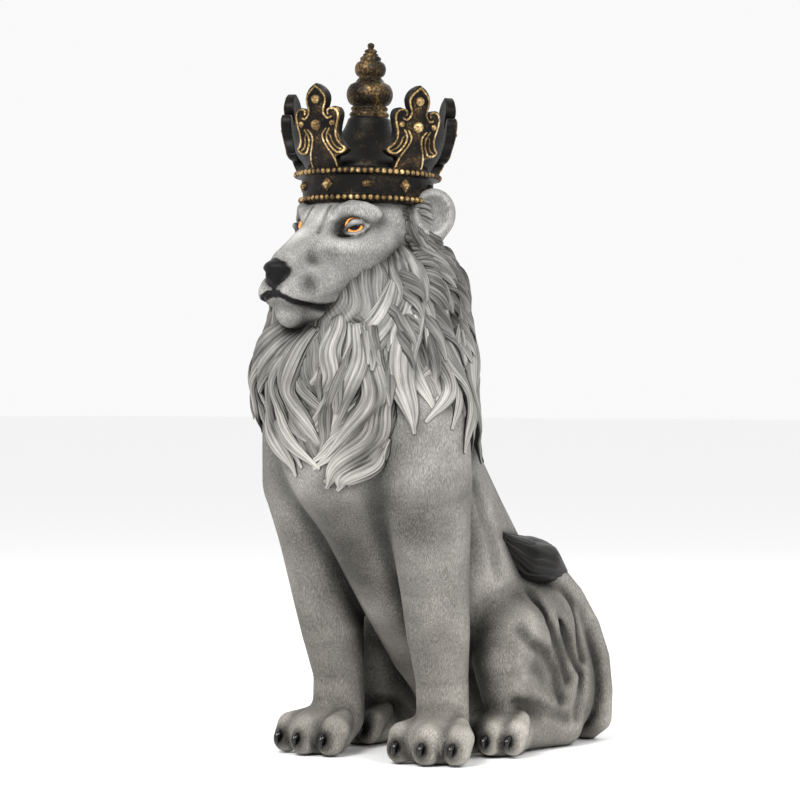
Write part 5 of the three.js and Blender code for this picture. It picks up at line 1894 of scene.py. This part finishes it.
class Plate:
    """A flat plate with a rounded edge from its outline; x across, y out towards the viewer."""

    def __init__(self, line, half_thickness, rounding):
        self.line, self.half, self.rounding = line, half_thickness, rounding
        self.low = np.array([line[:, 0].min(), -half_thickness, line[:, 1].min()])
        self.high = np.array([line[:, 0].max(), half_thickness, line[:, 1].max()])

    def outline_distance(self, x, z):
        """How far a place is from the outline; less than nought inside it."""
        best = np.full(np.broadcast(x, z).shape, 1e9)
        crossings = np.zeros(best.shape, int)
        closed = np.vstack([self.line, self.line[:1]])
        for (ax, az), (bx, bz) in zip(closed, closed[1:]):
            dx, dz = bx - ax, bz - az
            t = np.clip(((x - ax) * dx + (z - az) * dz) / (dx * dx + dz * dz), 0, 1)
            best = np.minimum(best, np.hypot(x - ax - t * dx, z - az - t * dz))
            if az != bz:
                side = (az <= z) != (bz <= z)
                crossings = crossings + (side & (x < ax + (z - az) / dz * dx))
        return np.where(crossings % 2 == 1, -best, best)

    def distance(self, x, y, z):
        flat = self.outline_distance(x, z) + self.rounding
        thick = np.abs(y) - self.half + self.rounding
        outside = np.hypot(np.maximum(flat, 0), np.maximum(thick, 0))
        return outside + np.minimum(np.maximum(flat, thick), 0) - self.rounding


# %% Relief of a fleur
fleur = Clay()
fleur.add(Plate(outline, 5.0, 1.0), 1)
FACE_Y = -5.0  # the face looks towards -Y


def raised_line(points, radius=1.15):
    """A raised line on the face, through (across, height) points."""
    line = rounded_line(points)
    fleur.add(Limb([(x, FACE_Y - 0.1, z, radius) for x, z in line]), 0.8)


# Lines of the right half as (across, height): the pointed head and its curl, the side leaf, the
# stem, and the arm between them
HEAD_RIM = [
    (0, 81.7), (7.3, 75.9), (12.0, 69.6), (11.2, 63.3), (8.6, 57.1), (9.6, 51.8), (14, 47.6),
    (18, 49.2),
]
SIDE_LEAF = [
    (14.6, 53), (14.0, 57), (19.0, 58.6), (24.0, 57.0), (26.6, 52.5), (26.2, 46.6), (24.2, 40.3),
    (22.4, 34), (22.2, 27.7), (25.2, 21.5), (30.2, 18.0), (28.5, 15.6), (24, 13.4), (18.4, 14),
    (14.1, 19.4), (11.2, 25.7), (11.5, 31.9), (15.5, 37.2),
]
STEM_EDGE = [
    (11.4, 37.2), (6.2, 31.9), (6.5, 25.7), (10.2, 18.3), (13.6, 12), (15.6, 5), (15.4, 0.5),
]
ARM_LINE = [(13, 33), (16.4, 30), (17.0, 24), (20.0, 19), (25.4, 16.6)]
for s in (1, -1):
    lines = ((HEAD_RIM, 1.25), (SIDE_LEAF, 1.25), (STEM_EDGE, 1.2), (ARM_LINE, 1.0))
    for line, radius in lines:
        raised_line([(s * across, height) for across, height in line], radius)
    fleur.add(Ball((s * 19.5, FACE_Y, 43), (3.2, 3.2, 3.2)), 0.6)
fleur.add(Ball((0, FACE_Y, 41.6), (5.6, 5.6, 5.6)), 0.6)
fleur.add(Ball((0, FACE_Y, 68.0), (4.8, 4.8, 4.8)), 0.6)
FLEUR_CELL = 1.0
FLEUR_RIDGE = 0.9
points, faces, _ = modelled(fleur, FLEUR_CELL)
ridge, normals = bulge(points, faces, 1)
print("fleur of", len(points), "points")


# %% Bending the fleurs round the crown
def stood_round(points, angle):
    """A flat shape stood on the crown at an angle, sweeping out as it rises."""
    height = points[:, 2]
    rise = np.maximum(0, height)
    sweep = FLEUR_FLARE * np.sin(np.pi / 2 * np.minimum(1, rise / FLARE_HEIGHT))
    bend = points[:, 0] / FLEUR_BEND_RADIUS
    set_back = FLEUR_BEND_RADIUS * (1 - np.cos(bend))
    out = FLEUR_ROOT_RADIUS + sweep + FLEUR_LEAN * rise / FLEUR_HEIGHT - set_back - points[:, 1]
    across = (FLEUR_BEND_RADIUS - points[:, 1]) * np.sin(bend)
    x = out * math.sin(angle) + across * math.cos(angle)
    y = -out * math.cos(angle) + across * math.sin(angle)
    return np.column_stack([x, y, BAND_HEIGHT + height])


proud = soft_step(-points[:, 1], -FACE_Y + 0.15, -FACE_Y + 1.1)
on_face = soft_step(-points[:, 1], -FACE_Y - 1.2, -FACE_Y - 0.2)
fleur_worn = 0.08 + 0.24 * on_face + 0.32 * proud
fleur_worn += 1.4 * np.clip(FLEUR_RIDGE * ridge / FLEUR_CELL**2, -0.16, 0.16)
crown_points = np.vstack([on_head(stood_round(points, 2 * math.pi * i / 5)) for i in range(5)])
crown_faces = np.vstack([faces + i * len(points) for i in range(5)])
fleurs = mesh_object("crown_fleurs", crown_points, crown_faces.tolist())
set_values(fleurs, "worn", np.tile(fleur_worn, 5))
finish_piece(fleurs, bronze, "crown")

# %% [markdown]
# ## The tail's tuft
# The tail ends in a black tuft that leans on the flank, thick in the middle and blunt at its end.
# One plain limb would look like a club, so nine of the mane's ribbons twist round its spine, and
# the same paint is nearly all black here.

# %% Tail tuft
TUFT_LOCKS = 9
tuft_line = np.array(TUFT, float)
parts = []
t = np.linspace(0, 1, LOCK_RINGS)
spine = np.stack([np.interp(t, (0, 0.28, 0.6, 1), tuft_line[:, i]) for i in range(4)], axis=1)
for i in range(TUFT_LOCKS):
    angle = 2 * math.pi * i / TUFT_LOCKS
    twist = angle + 0.9 * t  # each goes about an eighth of a turn round the spine
    out = np.stack([np.sin(twist), 0.3 * np.cos(twist), np.cos(twist)], axis=1)
    reach = spine[:, 3] * 0.55
    places = spine[:, :3] + out * reach[:, None]
    swell = np.sin(np.pi * (0.2 + 0.8 * t)).clip(0) ** 0.6
    sizes = np.maximum(1.2, spine[:, 3] * 0.46 * swell)
    parts.append(ribbon(places, sizes, out, 100 + i, outer_points=21, flat=1.0))
points, faces, lay, wave, share = gathered(parts)
tuft = mesh_object("tail_tuft", (points + DRAWN_TO_FRAME) * MM, faces)
write_map(tuft, lay)
set_values(tuft, "tone", 0.1 + 0.5 * wave)
set_values(tuft, "black", 1.0 - 0.1 * wave**6)
finish_piece(tuft, mane_hair, "lion")

# %% [markdown]
# ## Claws
# Each toe ends in a short blunt claw, half sunk in its hollow and bent down. A ball squeezed long
# would nearly do, but would not bend, so each claw is a short tube along a curve through three
# places of its toe, closed at both ends.


# %% Claws
def claw_set():
    """Points and faces of all claws. A claw's line is bent between three places, from its root
    in the toe to its end above the floor."""
    clouds, faces, start = [], [], 0
    rings, segments = 7, 12
    t = np.linspace(0, 1, rings)[:, None]
    size = 4.3 * (1 - 0.4 * t[:, 0] ** 2)
    turn = 2 * math.pi * np.arange(segments) / segments
    for paw in PAWS:
        ahead = np.array(paw_place(paw, 0, 1, 0)) - np.array(paw_place(paw, 0, 0, 0))
        for across, share in TOES:
            reach = paw[2] * share
            a = np.array(paw_place(paw, across, reach + 5, 21.5))
            b = np.array(paw_place(paw, across, reach + 14, 21))
            c = np.array(paw_place(paw, across, reach + 12.5, 12.5))
            line = (1 - t) ** 2 * a + 2 * t * (1 - t) * b + t * t * c
            tangent = np.gradient(line, axis=0)
            tangent /= np.linalg.norm(tangent, axis=1, keepdims=True)
            side = np.cross(tangent, ahead)
            side /= np.linalg.norm(side, axis=1, keepdims=True)
            above = np.cross(side, tangent)
            round_it = 0.85 * side[:, None] * np.cos(turn)[None, :, None]
            round_it = round_it + above[:, None] * np.sin(turn)[None, :, None]
            ring = line[:, None] + size[:, None, None] * round_it
            grid = start + np.arange(rings * segments).reshape(rings, segments)
            nxt = np.roll(grid, -1, axis=1)
            quads = np.stack([grid[:-1], grid[1:], nxt[1:], nxt[:-1]], axis=-1)
            faces += quads.reshape(-1, 4).tolist()
            end = start + rings * segments
            faces += [(grid[0, j], nxt[0, j], end) for j in range(segments)]
            faces += [(nxt[-1, j], grid[-1, j], end + 1) for j in range(segments)]
            clouds += [*ring.reshape(-1, 3), line[0] - tangent[0] * 2, line[-1] + tangent[-1] * 0.8]
            start = end + 2
    return np.array(clouds), faces


# Gloss enamel dabbed on with a brush: black with a small bright highlight on each claw.
claw_black, tree, shader = new_material("gloss black claws")
shader.inputs["Base Color"].default_value = GLOSS_BLACK
shader.inputs["Roughness"].default_value = 0.2
points, faces = claw_set()
claws = mesh_object("claws", (points + DRAWN_TO_FRAME) * MM, faces)
finish_piece(claws, claw_black, "lion")

# %% [markdown]
# ## Sizes and the end
# The box round the whole dressed sculpture is printed. The dressed sculpture must keep
# to the solids' size.

# %% Finish
low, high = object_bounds()
print("dressed span", [round(v, 4) for v in low], [round(v, 4) for v in high])
